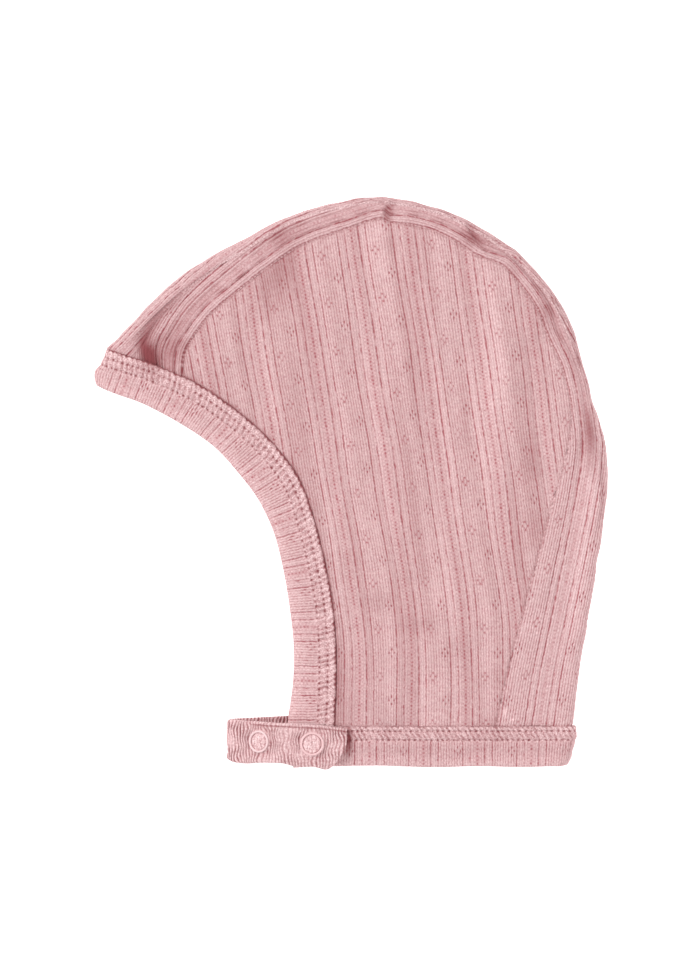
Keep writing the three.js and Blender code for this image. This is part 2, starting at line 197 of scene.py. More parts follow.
# edge x, edge y, sewn x, sewn y: the face binding from the neck up to the forehead
FACE = np.array([
    (-25.4, -97.3, -6.8, -97.3),
    (-23, -81, -6.1, -81),
    (-22.6, -66, -6.1, -66.4),
    (-24.2, -50, -7.4, -49),
    (-26.8, -34.6, -10.6, -31.6),
    (-30.6, -19.8, -14.9, -14.6),
    (-36.6, -7, -20.8, 1.4),
    (-44.6, 3.8, -30.6, 14.8),
    (-54.8, 14.8, -43.2, 26.6),
    (-68, 23.8, -59.2, 38),
    (-82.6, 31.6, -76.6, 46.2),
    (-93.6, 35.6, -88.2, 50.1),
    (-102.8, 39.2, -97.4, 53.3),
])
# edge x, edge y, sewn x, sewn y: the neck binding from the front corner to the nape
NECK = np.array([
    (-22.6, -114, -25.4, -97.6),
    (-8, -113.5, -8, -97.6),
    (12, -113.2, 12, -97.6),
    (32, -113.8, 32, -97.6),
    (52, -113.4, 52, -97.6),
    (68, -113.7, 68.4, -97.6),
    (80, -113.4, 81, -97.6),
    (88.4, -113.4, 90.2, -97.6),
])
# x, z, top y, low y: the chin strap from the far corner round its bend to its tip
STRAP = np.array([
    (-24.2, 1.2, -93.3, -111.8),
    (-34, 1.2, -93.8, -111.5),
    (-42, 1.28, -94.2, -111.3),
    (-46.4, 1.7, -94.4, -111.2),
    (-48, 3.7, -94.6, -111),
    (-46.4, 6, -94.7, -111.8),
    (-41.4, 8.7, -95, -112.2),
    (-36.6, 11.5, -95.2, -111.8),
    (-31.8, 14, -95.5, -111.7),
    (-26.6, 15.6, -95.7, -111.9),
    (-20.4, 16.1, -96, -113.4),
    (-15.2, 16.1, -96.3, -113.1),
    (-10, 15.9, -96.7, -114.3),
    (-7.4, 15.5, -97, -113.4),
    (-4.6, 15, -97.4, -110.4),
    (-2.2, 14.6, -97.8, -106.4),
    (-1.2, 14.4, -98, -102.6),
])


# %% Curves through the tables
def rows_at(table, place):
    """A table's columns at any places: start + t(s0 + t(b + t w)), a cubic that leaves each row
    with half the step from the row before it to the row after it."""
    place = np.asarray(place, float)
    first = np.clip(np.floor(place).astype(int), 0, len(table) - 2)
    share = (place - first)[..., None]
    before, start, end, after = (
        table[np.clip(first + step, 0, len(table) - 1)] for step in (-1, 0, 1, 2)
    )
    slope_start, slope_end = (end - before) / 2, (after - start) / 2
    bend = 3 * (end - start) - 2 * slope_start - slope_end
    twist = 2 * (start - end) + slope_start + slope_end
    return start + share * (slope_start + share * (bend + share * twist))


def chain_of(table, columns, steps=4):
    """Points of a table's curve in plan, with so many steps from each row to the next."""
    return rows_at(table, np.arange((len(table) - 1) * steps + 1) / steps)[:, columns]


def nearest_on(chain, x, y):
    """Least distance in plan to a chain, the place on it, counted in its points, and the side:
    above zero to the left of the way it runs."""
    least = np.full(np.shape(x), np.inf)
    place, side = np.zeros(np.shape(x)), np.zeros(np.shape(x))
    for k, (start, step) in enumerate(zip(chain[:-1], np.diff(chain, axis=0))):
        off_x, off_y = x - start[0], y - start[1]
        share = np.clip((off_x * step[0] + off_y * step[1]) / max(step @ step, 1e-9), 0, 1)
        away = np.hypot(off_x - share * step[0], off_y - share * step[1])
        closer = away < least
        least = np.where(closer, away, least)
        place = np.where(closer, k + share, place)
        side = np.where(closer, step[0] * off_y - step[1] * off_x, side)
    return least, place, np.sign(side)


def way_along(path):
    """Distance from the start of a path to each of its points: the sum of its steps' lengths."""
    return np.concatenate([[0], np.cumsum(np.linalg.norm(np.diff(path, axis=0), axis=1))])


def unit(vectors):
    """Vectors brought to length 1."""
    return vectors / np.maximum(np.linalg.norm(vectors, axis=-1, keepdims=True), 1e-9)


def along_chain(chain, place):
    """The values of a chain's columns at places counted in its points."""
    return [np.interp(place, np.arange(len(chain)), column) for column in chain.T]


fold_chain = chain_of(CENTRE, [0, 1])
face_edge = chain_of(FACE, [0, 1])
face_sewn = chain_of(FACE, [2, 3])
neck_edge = chain_of(NECK, [0, 1], 2)
print("fold is", round(float(way_along(fold_chain)[-1])), "mm long")


# %% Soft steps, bumps and ripples
def smooth(low, high, x):
    """0 below low, 1 above high, and 3t^2 - 2t^3 between."""
    t = np.clip((np.asarray(x, float) - low) / (high - low), 0, 1)
    return t * t * (3 - 2 * t)


def bell(x, width):
    """exp(-(x / width)^2), a soft bump of height 1."""
    return np.exp(-((np.asarray(x, float) / width) ** 2))


def spots_of(table, x, y):
    """The sum of soft round spots: shade * exp(-(x off / across)^2 - (y off / along)^2)."""
    return sum(shade * bell(x - at_x, across) * bell(y - at_y, along)
               for at_x, at_y, across, along, shade in table)


def ripple(x, y, length, seed):
    """A gentle random surface between about -1 and 1: four sine waves of about the same length,
    in directions and phases drawn once from the seed."""
    draw = np.random.default_rng(seed)
    total = np.zeros(np.broadcast(x, y).shape)
    for _ in range(4):
        turn, phase = draw.uniform(0, 2 * np.pi, 2)
        wave = 2 * np.pi / (length * draw.uniform(0.7, 1.4))
        total = total + np.sin(wave * (x * np.cos(turn) + y * np.sin(turn)) + phase)
    return total / 2.6


# %% Heights
# x, y, half length, half width, turn in degrees, height: soft hills and hollows of the near side
HILLS = np.array([
    (61, 34, 40, 8, 94, 2.0),
    (78, 20, 26, 5, 100, -0.8),
    (14, -40, 30, 5.5, -42, -0.8),
    (-26, 86, 15, 8, 62, -1.7),
    (-48, 58, 14, 7, 60, 0.5),
    (17, -83, 12, 8, 90, 1.2),
    (57, -92, 7, 5, 90, -0.5),
    (-2, 60, 30, 7, 96, 0.5),
    (11.5, 98, 9, 2.6, 98, 0.5),
    (16.5, 96, 9, 2.2, 98, -0.5),
])


def hills(x, y):
    """The sum of long soft bumps: height * exp(-(along / half length)^2 - (across / half width)^2)."""
    total = np.zeros(np.shape(x))
    for at_x, at_y, long, wide, turn, height in HILLS:
        way_x, way_y = math.cos(math.radians(turn)), math.sin(math.radians(turn))
        along = (x - at_x) * way_x + (y - at_y) * way_y
        across = (y - at_y) * way_x - (x - at_x) * way_y
        total = total + height * bell(along, long) * bell(across, wide)
    return total


def lie(x, y):
    """Height of the near wall's outer face: the shoulder, plus a puff that grows away from the
    fold and is lost towards the face and neck openings, plus the hills and waves of soft cloth."""
    from_fold = nearest_on(fold_chain, x, y)[0]
    from_opening = np.minimum(nearest_on(face_edge, x, y)[0], nearest_on(neck_edge, x, y)[0])
    inside = np.maximum(from_fold - SHOULDER_IN, 0)
    rise = PUFF * (1 - np.exp(-inside / PUFF_REACH))
    waves = hills(x, y) + 0.4 * ripple(x, y, 44, 5) + 0.2 * ripple(x, y, 17, 8)
    waves = waves * smooth(0, 12, inside) * smooth(6, 22, from_opening)
    return SHOULDER + rise * (1 - OPENING_SAG * np.exp(-from_opening / SAG_REACH)) + waves


# %% [markdown]
# ## The knit
# Pointelle rib is fine rib with rows of tiny eyelets. Across the cloth it repeats every twenty
# wales: a ladder of eyelets, two sunk lines on each side of it, and a flat field with eyelet
# flowers in two staggered columns. The mesh carries the form of it, so every piece of the hat is
# cut from the same cloth. u runs across the wales and v along them, both in millimetres.
# %% The repeat
WALE = 1.08
COLUMN = WALE / 3  # three mesh columns to a wale: its crest and its two flanks
COURSE_ROW = 0.729  # two mesh rows to a ladder's step
REPEAT = 20 * WALE
LINES = ((-5.8, 0.85), (-3.0, 0.8), (3.0, 1.1), (5.8, 0.65))  # place and strength of each sunk line
OUTER_LINE = 5.8
LADDER_SIDE = WALE
LADDER_STEP = 2 * COURSE_ROW
FLOWER_STEP = 26 * COURSE_ROW
FLOWER_MIDDLE, FLOWER_SIDE = 31 * COLUMN, 7 * COLUMN
PETAL_ACROSS, PETAL_ALONG = WALE, 2 * COURSE_ROW


def wrapped(x, period):
    """x brought to between minus half a period and plus half a period."""
    return np.mod(x + period / 2, period) - period / 2


def eyelets(u, v):
    """1 in the middle of an eyelet and 0 away from all of them."""
    across, middle = wrapped(u, REPEAT), wrapped(u - FLOWER_MIDDLE, REPEAT)
    total = 0.8 * bell(across, 0.4) * bell(wrapped(v, LADDER_STEP), 0.45)
    beside = wrapped(v - COURSE_ROW, LADDER_STEP)
    total = total + 0.5 * bell(np.abs(across) - LADDER_SIDE, 0.36) * bell(beside, 0.42)
    side = np.abs(np.abs(middle) - FLOWER_SIDE)
    along = np.abs(wrapped(v - (middle > 0) * FLOWER_STEP / 2, FLOWER_STEP))
    total = total + bell(side - PETAL_ACROSS, 0.4) * bell(along, 0.6)
    return np.clip(total + bell(side, 0.4) * bell(along - PETAL_ALONG, 0.6), 0, 1)


def knit(u, v, gathered=1.0, holes=1.0):
    """Relief in mm of the cloth at (u, v): a cosine for the wales, a low crown for each field, less
    a bell for each sunk line and each eyelet."""
    sway = 0.16 * np.sin(v / 5.3 + 0.7 * np.sin(u / 9))
    across = wrapped(u + sway, REPEAT)
    middle = wrapped(u - REPEAT / 2, REPEAT) / (REPEAT / 2 - OUTER_LINE)
    field = smooth(OUTER_LINE - 0.1, OUTER_LINE + 0.5, np.abs(across))
    wales = 0.5 + 0.5 * np.cos(2 * np.pi * u / WALE)
    uneven = np.clip(0.85 + 0.4 * ripple(u, v, 31, 3) + 0.4 * ripple(u, v, 7, 6), 0.15, 1.6)
    lines = sum(strength * bell(across - at, 0.42) for at, strength in LINES)
    return (
        0.22 * (wales - 0.5) * (0.7 + 0.3 * field) * (1 + 0.3 * ripple(u, v, 9, 10))
        + 0.34 * field * (1 - np.clip(middle, -1, 1) ** 2) * (1 + 0.2 * ripple(u, v, 14, 9))
        + 0.12 * ripple(u, v, 12, 12)
        - 0.27 * lines * uneven * gathered
        - 0.4 * holes * eyelets(u, v) * (0.8 + 0.4 * ripple(u, v, 23, 4))
    )


# %% [markdown]
# ## Making a mesh from arrays
# A panel is two skins, an outer one fine enough to hold every wale and an inner one that nobody
# looks at closely. Joining two grids of different fineness by hand is slow, so each skin gives its
# border as a ring of points, and a strip of triangles runs between the two rings.
# %% Helpers for grids
def cells_of(rows, columns):
    """The four corners of every cell of a grid, as numbers of its points."""
    corner = np.arange(rows * columns).reshape(rows, columns)
    return np.stack([corner[:-1, :-1], corner[:-1, 1:], corner[1:, 1:], corner[1:, :-1]], -1)


def normals_of(points):
    """Unit normals of a grid of points: the cross product of its two directions."""
    across, along = np.gradient(points, axis=1), np.gradient(points, axis=0)
    return unit(np.cross(across, along))


def border_ring(faces):
    """The numbers of the points round the border of some quads, in order."""
    start, end = faces.ravel(), np.roll(faces, -1, 1).ravel()
    many = int(faces.max()) + 1
    open_edge = ~np.isin(start * many + end, end * many + start)
    after = dict(zip(start[open_edge].tolist(), end[open_edge].tolist()))
    ring = [next(iter(after))]
    while after[ring[-1]] != ring[0]:
        ring.append(after[ring[-1]])
    return np.array(ring)


def strip_between(ring_a, ring_b, points):
    """Triangles between two rings that run the same way: the next point is taken from whichever
    ring is behind, by its share of the way round the first ring."""
    from_a, from_b = points[ring_a], points[ring_b]
    ring_b = np.roll(ring_b, -int(np.argmin(np.linalg.norm(from_b - from_a[0], axis=1))))
    from_b = points[ring_b]
    way = way_along(np.vstack([from_a, from_a[:1]]))
    at_b = way[[int(np.argmin(np.linalg.norm(from_a - b, axis=1))) for b in from_b]]
    at_b[:3] = np.where(at_b[:3] > way[-1] * 0.9, 0, at_b[:3])
    at_b = np.maximum.accumulate(at_b)
    end_a, end_b = way[1:], np.append(at_b[1:], way[-1])
    met_a = np.searchsorted(end_b, end_a, "left")
    met_b = np.searchsorted(end_a, end_b, "right")
    closed_a, closed_b = np.append(ring_a, ring_a[0]), np.append(ring_b, ring_b[0])
    fan_a = np.stack([closed_a[1:], closed_a[:-1], closed_b[met_a]], -1)
    fan_b = np.stack([closed_a[np.minimum(met_b, len(ring_a))], closed_b[:-1], closed_b[1:]], -1)
    return np.vstack([fan_a, fan_b])


# %% Mesh from arrays
def volume_of(points, faces_by_kind):
    """Volume inside closed faces, above zero where they face outwards."""
    total = 0.0
    for faces in faces_by_kind:
        for k in range(1, faces.shape[1] - 1):
            a, b, c = points[faces[:, 0]], points[faces[:, k]], points[faces[:, k + 1]]
            total += np.einsum("ij,ij->i", a, np.cross(b, c)).sum() / 6
    return total


def mesh_piece(name, points, faces_by_kind, uv, marks, material):
    """A smooth mesh object in metres from points in mm, quads and triangles, without the points
    that no face uses. The cloth's own coordinates are its UV map in mm, and each column of marks
    is a point attribute: shade, how deep in painted shadow (or, below 0, how much lighter: painted
    light, save for two pale ends of thread), and crisp, how clearly the knit shows; where crisp is
    low the material also paints the cloth lighter."""
    used = np.unique(np.concatenate([faces.ravel() for faces in faces_by_kind]))
    new_number = np.full(len(points), -1)
    new_number[used] = np.arange(len(used))
    points, uv, marks = points[used], uv[used], marks[used]
    faces_by_kind = [new_number[faces] for faces in faces_by_kind]
    if volume_of(points, faces_by_kind) < 0:
        faces_by_kind = [faces[:, ::-1] for faces in faces_by_kind]
    mesh = bpy.data.meshes.new(name)
    corners = np.concatenate([faces.ravel() for faces in faces_by_kind]).astype(np.int32)
    sizes = np.concatenate([np.full(len(f), f.shape[1]) for f in faces_by_kind]).astype(np.int32)
    mesh.vertices.add(len(points))
    mesh.vertices.foreach_set("co", (points * MM).astype(np.float32).ravel())
    mesh.loops.add(len(corners))
    mesh.loops.foreach_set("vertex_index", corners)
    mesh.polygons.add(len(sizes))
    mesh.polygons.foreach_set("loop_start", (np.cumsum(sizes) - sizes).astype(np.int32))
    mesh.polygons.foreach_set("use_smooth", np.ones(len(sizes), bool))
    mesh.update(calc_edges=True)
    mesh.validate()
    layer = mesh.uv_layers.new(name="cloth_mm")
    layer.uv.foreach_set("vector", uv[corners].astype(np.float32).ravel())
    for k, label in enumerate(("shade", "crisp")):
        mark = mesh.attributes.new(label, "FLOAT", "POINT")
        mark.data.foreach_set("value", np.clip(marks[:, k], -1, 1).astype(np.float32))
    mesh.materials.append(material)
    print(f"{name}: {len(points)} points, {int((sizes - 2).sum())} triangles")
    return linked(name, mesh)


def place_piece(piece, node):
    """The piece rides on the hat's one body and stands for its solid."""
    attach(piece, "root")
    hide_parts(node)


# %% [markdown]
# ## Materials
# Cotton knit is matt, with a soft bloom of loose fibres that a little sheen gives. Its colour is
# not one pink: the crests of the wales are pale, while sunk lines, eyelets and the gaps between
# wales get a painted shade of rose for the light that has bounced inside them, and no two
# stitches are quite alike. The marks are finer than the mesh, so the material works them out from
# the cloth's own coordinates with the same measures as the mesh. A small class lets such a
# pattern be written as a formula.
# %% Node helpers
def new_node(tree, kind, settings=(), **inputs):
    """Adds a node, sets its properties, and sets or links its inputs by name or number."""
    made = tree.nodes.new(kind)
    for key, value in dict(settings).items():
        setattr(made, key, value)
    for key, value in inputs.items():
        socket = made.inputs[int(key[1:])] if key[0] == "i" and key[1:].isdigit() else made.inputs[key]
        value = getattr(value, "socket", value)
        if isinstance(value, bpy.types.NodeSocket):
            tree.links.new(value, socket)
        else:
            socket.default_value = value
    return made


class Flow:
    """A value that flows through a material's nodes. Each sum, product or function of it adds one
    Math node and gives a new value."""

    def __init__(self, tree, socket):
        self.tree, self.socket = tree, socket

    def step(self, operation, *others):
        """The outcome of one Math node whose first input is this value."""
        inputs = {f"i{k}": value for k, value in enumerate((self, *others))}
        node = new_node(self.tree, "ShaderNodeMath", {"operation": operation}, **inputs)
        return Flow(self.tree, node.outputs[0])

    def __add__(self, other):
        return self.step("ADD", other)

    def __sub__(self, other):
        return self.step("SUBTRACT", other)

    def __mul__(self, other):
        return self.step("MULTIPLY", other)

    __radd__, __rmul__ = __add__, __mul__

    def __rsub__(self, other):
        return self.step("MULTIPLY_ADD", -1.0, other)

    def __abs__(self):
        return self.step("ABSOLUTE")

    def wrap(self, period):
        """Brought to between minus half a period and plus half a period."""
        return self.step("WRAP", period / 2, -period / 2)

    def bell(self, width):
        """exp(-(x / width)^2)."""
        share = self * (1 / width)
        return (share * share * -1.0).step("EXPONENT")

    def wave(self, period):
        """0.5 + 0.5 cos(2 pi x / period)."""
        return (self * (2 * math.pi / period)).step("COSINE").step("MULTIPLY_ADD", 0.5, 0.5)

    def kept(self, low=0.0, high=1.0):
        """Kept between two limits."""
        return self.step("MAXIMUM", low).step("MINIMUM", high)


def blend_colours(tree, factor, a, b, mode="MIX"):
    """Mixes colour b over colour a."""
    made = new_node(tree, "ShaderNodeMix", {"data_type": "RGBA", "blend_type": mode},
                    i0=factor, i6=a, i7=b)
    return made.outputs[2]


# %% Clouds, streaks and marks
def cloud(tree, place, scale, detail):
    """Noise of a scale at some place, brought to about -1 to 1."""
    made = new_node(tree, "ShaderNodeTexNoise", Vector=place, Scale=scale, Detail=detail)
    return Flow(tree, made.outputs[0]).step("MULTIPLY_ADD", 4.0, -2.0)


def streaks(tree, u, v, across, along, shift):
    """Noise drawn out along the wales, with features so many mm across and along."""
    spot = new_node(tree, "ShaderNodeCombineXYZ", i0=u * (1 / across), i1=v * (1 / along), i2=shift)
    return cloud(tree, spot.outputs[0], 1.0, 2.0)


def mark(tree, label):
    """One of the mesh's marks."""
    made = new_node(tree, "ShaderNodeAttribute", {"attribute_name": label})
    return Flow(tree, made.outputs["Fac"])


def ladder_marks(across, v):
    """The ladder's eyelets, in a line down its middle with a row beside them on each side, and the
    loops between them, where the material paints a highlight."""
    beside = (v - COURSE_ROW).wrap(LADDER_STEP)
    holes = across.bell(0.32) * (v.wrap(LADDER_STEP).bell(0.42) * 0.9 + 0.45)
    holes = holes + (abs(across) - LADDER_SIDE).bell(0.28) * beside.bell(0.36) * 0.65
    return holes, (abs(across) - LADDER_SIDE / 2).bell(0.25) * beside.bell(0.4)


def flower_marks(u, v):
    """The eyelet flowers, each of four petals, in two columns staggered by half a step."""
    middle = (u - FLOWER_MIDDLE).wrap(REPEAT)
    petal = abs(abs(middle) - FLOWER_SIDE)
    level = abs((v - middle.step("GREATER_THAN", 0.0) * (FLOWER_STEP / 2)).wrap(FLOWER_STEP))
    flower = (petal - PETAL_ACROSS).bell(0.27) * level.bell(0.46)
    return flower + petal.bell(0.27) * (level - PETAL_ALONG).bell(0.46)


def oddness(tree, u, v):
    """A random value from 0 to 1 for each stitch."""
    stitch = new_node(tree, "ShaderNodeCombineXYZ", i0=(u * (1 / WALE)).step("ROUND"),
                      i1=(v * (1 / COURSE_ROW)).step("ROUND"))
    made = new_node(tree, "ShaderNodeTexWhiteNoise", {"noise_dimensions": "2D"}, i0=stitch.outputs[0])
    return Flow(tree, made.outputs["Value"])


# %% Knit material
# ROSE is painted shade for the gaps, sunk lines and eyelets; SHADOW is the painted shadow colour that
# the shade attribute mixes in.
ROSE = (0.38, 0.12, 0.135)
SHADOW = (0.28, 0.078, 0.086)


def knit_material(name, pale, openwork=1.0, coarse=1.0, ribs=1.0, ladder=1.0):
    """Knit cloth: pale on the crests, with painted shade in rose in the gaps, sunk lines and eyelets,
    and painted shadow colour where the shade attribute says. It is painted lighter where the shade
    is below 0, where crisp is low and on the ladder's loops: painted light, save for two pale ends
    of thread. Openwork says how strong the lines and eyelets are, ladder how clear the ladder's own
    eyelets, ribs how deep the gaps and coarse how uneven the yarn looks."""
    material, tree, shader = new_material(name, {
        "Roughness": 0.92,
        "Specular IOR Level": 0.1,
        "Sheen Weight": 0.08,
        "Sheen Roughness": 0.5,
    })
    place = new_node(tree, "ShaderNodeTexCoord").outputs["Object"]
    uv = new_node(tree, "ShaderNodeUVMap", {"uv_map": "cloth_mm"}).outputs[0]
    parts = new_node(tree, "ShaderNodeSeparateXYZ", i0=uv).outputs
    cloth_u, cloth_v = Flow(tree, parts[0]), Flow(tree, parts[1])
    shade, crisp = mark(tree, "shade"), mark(tree, "crisp")
    mottle, broken, fleck = (cloud(tree, place, scale, detail) for scale, detail in
                             ((95.0, 3.0), (520.0, 2.0), (1600.0, 1.0)))
    yarn = streaks(tree, cloth_u, cloth_v, 0.32, 0.85, 3.0) * coarse
    fluff = streaks(tree, cloth_u, cloth_v, 0.9, 2.6, 7.0) * coarse
    u, v = cloth_u + broken * 0.14 + fluff * 0.05, cloth_v + broken * 0.12
    crest, across = u.wave(WALE), u.wrap(REPEAT)
    field = abs(across).step("GREATER_THAN", OUTER_LINE)
    sunk = sum([(across - at).bell(0.3) * strength for at, strength in LINES], across * 0.0)
    sunk = sunk * (broken * 0.6 + fluff * 0.9 + mottle * 0.4 + 0.9).kept(0.05, 1.9)
    holes, loops = ladder_marks(across, v)
    holes = holes * (yarn * 0.8 + fluff * 0.9 + broken * 0.4 + 1.0).kept(0.05, 1.9) * ladder
    holes = holes + flower_marks(u, v) * (yarn * 0.6 + mottle * 0.4 + 1.25).kept(0.2, 1.8)
    odd = oddness(tree, u, v)
    gap = (1.0 - crest) * (1.0 - crest) * (field * 0.14 + 0.34) * (odd * 0.8 + 0.5 + yarn * 0.4)
    # The rose mix is painted shade in the gaps between wales, the sunk lines and the eyelets, together
    # with the yarn's own uneven tone.
    rose_shade_and_tone = gap * ribs + (sunk * 0.62 + holes * 0.7) * openwork
    soft = (1.0 - crisp) * 0.5
    rose_shade_and_tone = rose_shade_and_tone * crisp * 0.96 + yarn * -0.17 + fluff * -0.06 + fleck * (soft + 0.04) * -0.8
    rose_shade_and_tone = (rose_shade_and_tone + (odd - 0.5) * (0.14 * coarse) + 0.165).kept()
    colour = blend_colours(tree, rose_shade_and_tone, (*pale, 1), (*ROSE, 1))
    # grain is the yarn's own uneven tone, plus painted light where crisp is low, on the ladder's loops
    # and where the shade is below 0 (there also two pale ends of thread).
    grain = 1.0 + soft * 0.22 + (shade * -1.0).kept() * 0.7 + mottle * 0.03 + yarn * 0.17
    grain = grain + fleck * (soft + 0.1) * 0.4 + (odd - 0.5) * 0.08 + loops * 0.1
    tint = new_node(tree, "ShaderNodeCombineXYZ", i0=grain * 0.8 + 0.2, i1=grain, i2=grain)
    colour = blend_colours(tree, 1.0, colour, tint.outputs[0], "MULTIPLY")
    colour = blend_colours(tree, shade, colour, (*SHADOW, 1))
    tree.links.new(colour, shader.inputs["Base Color"])
    leg = abs((u * (1 / WALE)).wrap(1.0))
    loop = (v * (1 / COURSE_ROW) + leg * 1.1).wave(1.0)
    height = crest * 0.5 + loop * 0.4 + yarn * 0.3 + fleck * soft * 0.5 - rose_shade_and_tone * 1.0
    bump = new_node(tree, "ShaderNodeBump", Strength=0.5, Distance=0.00025, Height=height)
    tree.links.new(bump.outputs[0], shader.inputs["Normal"])
    return material


# All four knits are one yarn. Their pale colours are copies set to each piece's brightness as it lies,
# so the paler centre strip, bindings and strap are partly painted light.
panel_knit = knit_material("rib_knit_cloth", (0.756, 0.547, 0.55))
centre_knit = knit_material("centre_knit_cloth", (0.79, 0.58, 0.585), ribs=1.15, ladder=0.5)
binding_knit = knit_material("binding_knit_cloth", (0.773, 0.557, 0.562),
                             openwork=0.85, coarse=1.15, ribs=1.1)
strap_knit = knit_material("strap_knit_cloth", (0.865, 0.645, 0.65), openwork=0.2, coarse=1.25)
print("knit materials have", len(panel_knit.node_tree.nodes), "nodes each")


# %% [markdown]
# ## The side panels
# A side panel is the large piece over the ear. Its wales hang from the crown and lean forward a
# little, then straighten at the neck. If the mesh followed the panel's outline, the wales would
# cut across its columns and shimmer, so the mesh follows the wales instead, like the cloth on the
# cutting table, and is then trimmed to the pattern's outline as scissors would.
# %% How the cloth lies in the panel
LEAN, FAN, FAN_MIDDLE = 0.15, 0.00035, 25
COURSE_TILT = 0.11
FIRST_LADDER = 15.75  # x of a ladder at the level y = 0
FLOWER_LEVEL = -2 * COURSE_ROW  # y of a flower in the left column there
levels = np.linspace(-125, 125, 501)
lean_share = smooth(-78, -38, levels)
fallen = np.concatenate([[0], np.cumsum((lean_share[1:] + lean_share[:-1]) / 2 * np.diff(levels))])
fallen = np.interp(0, levels, fallen) - fallen


def side_plan(u, v):
    """Plan place of the cloth's point (u, v) in a side panel: courses tilt up to the right, and
    wales lean by a share of the height fallen, less for those further right, and sway a little."""
    level = -v
    y = level + COURSE_TILT * smooth(-60, 0, level) * (u + FIRST_LADDER - 27)
    lean = LEAN - FAN * (u + FIRST_LADDER - FAN_MIDDLE)
    sway = 0.35 * ripple(u * 0.6, v * 0.5, 16, 31)
    return u + FIRST_LADDER + lean * np.interp(y, levels, fallen) + sway, y


# %% Panel outline
LAST_SECTION = len(CENTRE) - 1
SEAM_STEPS = 8  # points of the seam line to a section
NOTCH = 0.95  # the seam's step where the crown's pucker is caught in it
CROWN_NOTCH, BACK_LIFT, BACK_NOTCH = 8.075, 10.05, 10.7  # where the seam strays, by sections


def wander(place):
    """How far the seam strays from its even line, away from the fold above zero: a step at the
    crown's pucker and a short lift at the back one."""
    step = NOTCH * np.tanh((place - CROWN_NOTCH) / 0.05) * bell(place - CROWN_NOTCH, 0.45)
    return step - 1.2 * bell(place - BACK_NOTCH, 0.28) + 0.6 * bell(place - BACK_LIFT, 0.2)


def down_back(place):
    """0 over the crown and 1 down the back, for places by sections."""
    return smooth(13.5, 16, place)


def seam_points(place):
    """The seam in plan: its row, moved by its wander along the way from the fold."""
    rows = rows_at(CENTRE, place)
    return rows[:, 2:4] + unit(rows[:, 2:4] - rows[:, :2]) * wander(place)[:, None]


def widened(outline, by):
    """A closed outline moved outwards, each point by the mean of its two edges' normals."""
    ring = outline[:-1]
    step = np.roll(ring, -1, 0) - ring
    out = unit(np.stack([step[:, 1], -step[:, 0]], -1))
    out = unit(out + np.roll(out, 1, 0))
    area = np.sum(ring[:, 0] * np.roll(ring[:, 1], -1) - np.roll(ring[:, 0], -1) * ring[:, 1])
    ring = ring + out * by * np.sign(area)
    return np.vstack([ring, ring[:1]])


OVERLAP = 0.9  # how far a panel's edge reaches under its neighbour
FACE_CORNER = -67.9  # x where the face binding leaves the side panel for the strip
low_face = face_sewn[face_sewn[:, 0] > FACE_CORNER]
seam_line = seam_points(np.arange(LAST_SECTION * SEAM_STEPS + 1) / SEAM_STEPS)
side_outline = np.vstack([low_face, seam_line, low_face[:1]])
cut_outline = widened(side_outline, OVERLAP)
print("a side panel's outline is", round(float(way_along(side_outline)[-1])), "mm long")


# %% Trimming the cloth
CLOTH_ACROSS, CLOTH_ALONG = (-105, 97), (-119, 119)  # the cloth that a side panel is cut from


def inside_of(outline, x, y):
    """True where a level line to the left crosses the outline an odd number of times."""
    odd = np.zeros(np.shape(x), bool)
    for (x0, y0), (x1, y1) in zip(outline[:-1], outline[1:]):
        if y0 == y1:
            continue
        odd ^= ((y0 > y) != (y1 > y)) & (x > x0 + (y - y0) / (y1 - y0) * (x1 - x0))
    return odd


def cloth_lines(reach, step):
    """Places of evenly spaced lines of the cloth, one of them at 0, over a reach."""
    return step * np.arange(math.floor(reach[0] / step), math.ceil(reach[1] / step))


def trimmed(keep):
    """The cells of a grid whose four corners are all kept, and the points on their ragged border,
    which fewer than four cells use."""
    cells = cells_of(*keep.shape)
    cells = cells[keep.ravel()[cells].all(-1)]
    uses = np.bincount(cells.ravel(), minlength=keep.size)
    return cells, ((uses > 0) & (uses < 4)).reshape(keep.shape)


def trimmed_plan(outline, column_step, row_step):
    """A lattice of the cloth with its plan, trimmed to an outline: (u, v, x, y, cells). Points on
    the ragged border are moved out to the outline."""
    u, v = np.meshgrid(cloth_lines(CLOTH_ACROSS, COLUMN * column_step),
                       cloth_lines(CLOTH_ALONG, COURSE_ROW * row_step))
    x, y = side_plan(u, v)
    cells, border = trimmed(inside_of(outline, x, y))
    near_x, near_y = along_chain(outline, nearest_on(outline, x, y)[1])
    return u, v, np.where(border, near_x, x), np.where(border, near_y, y), cells


# %% Near and far side panels
TUCK = 0.55  # how deep a panel's edge lies under its neighbour
EASED_AT, EASED_REACH = 16.6, 2.4  # where it lies half as deep, by sections of the seam
PITS = 2.2  # length of a stitch along the seams


def closed_panel(name, outer, inner, material):
    """A closed panel from two trimmed skins, each (points, cells, uv, marks)."""
    points = np.vstack([outer[0], inner[0]])
    inner_cells = inner[1] + len(outer[0])
    rim = strip_between(border_ring(outer[1]), border_ring(inner_cells), points)
    faces = [np.vstack([outer[1], inner_cells[:, ::-1]]), rim]
    uv, marks = np.vstack([outer[2], inner[2]]), np.vstack([outer[3], inner[3]])
    return mesh_piece(name, points, faces, uv, marks, material)


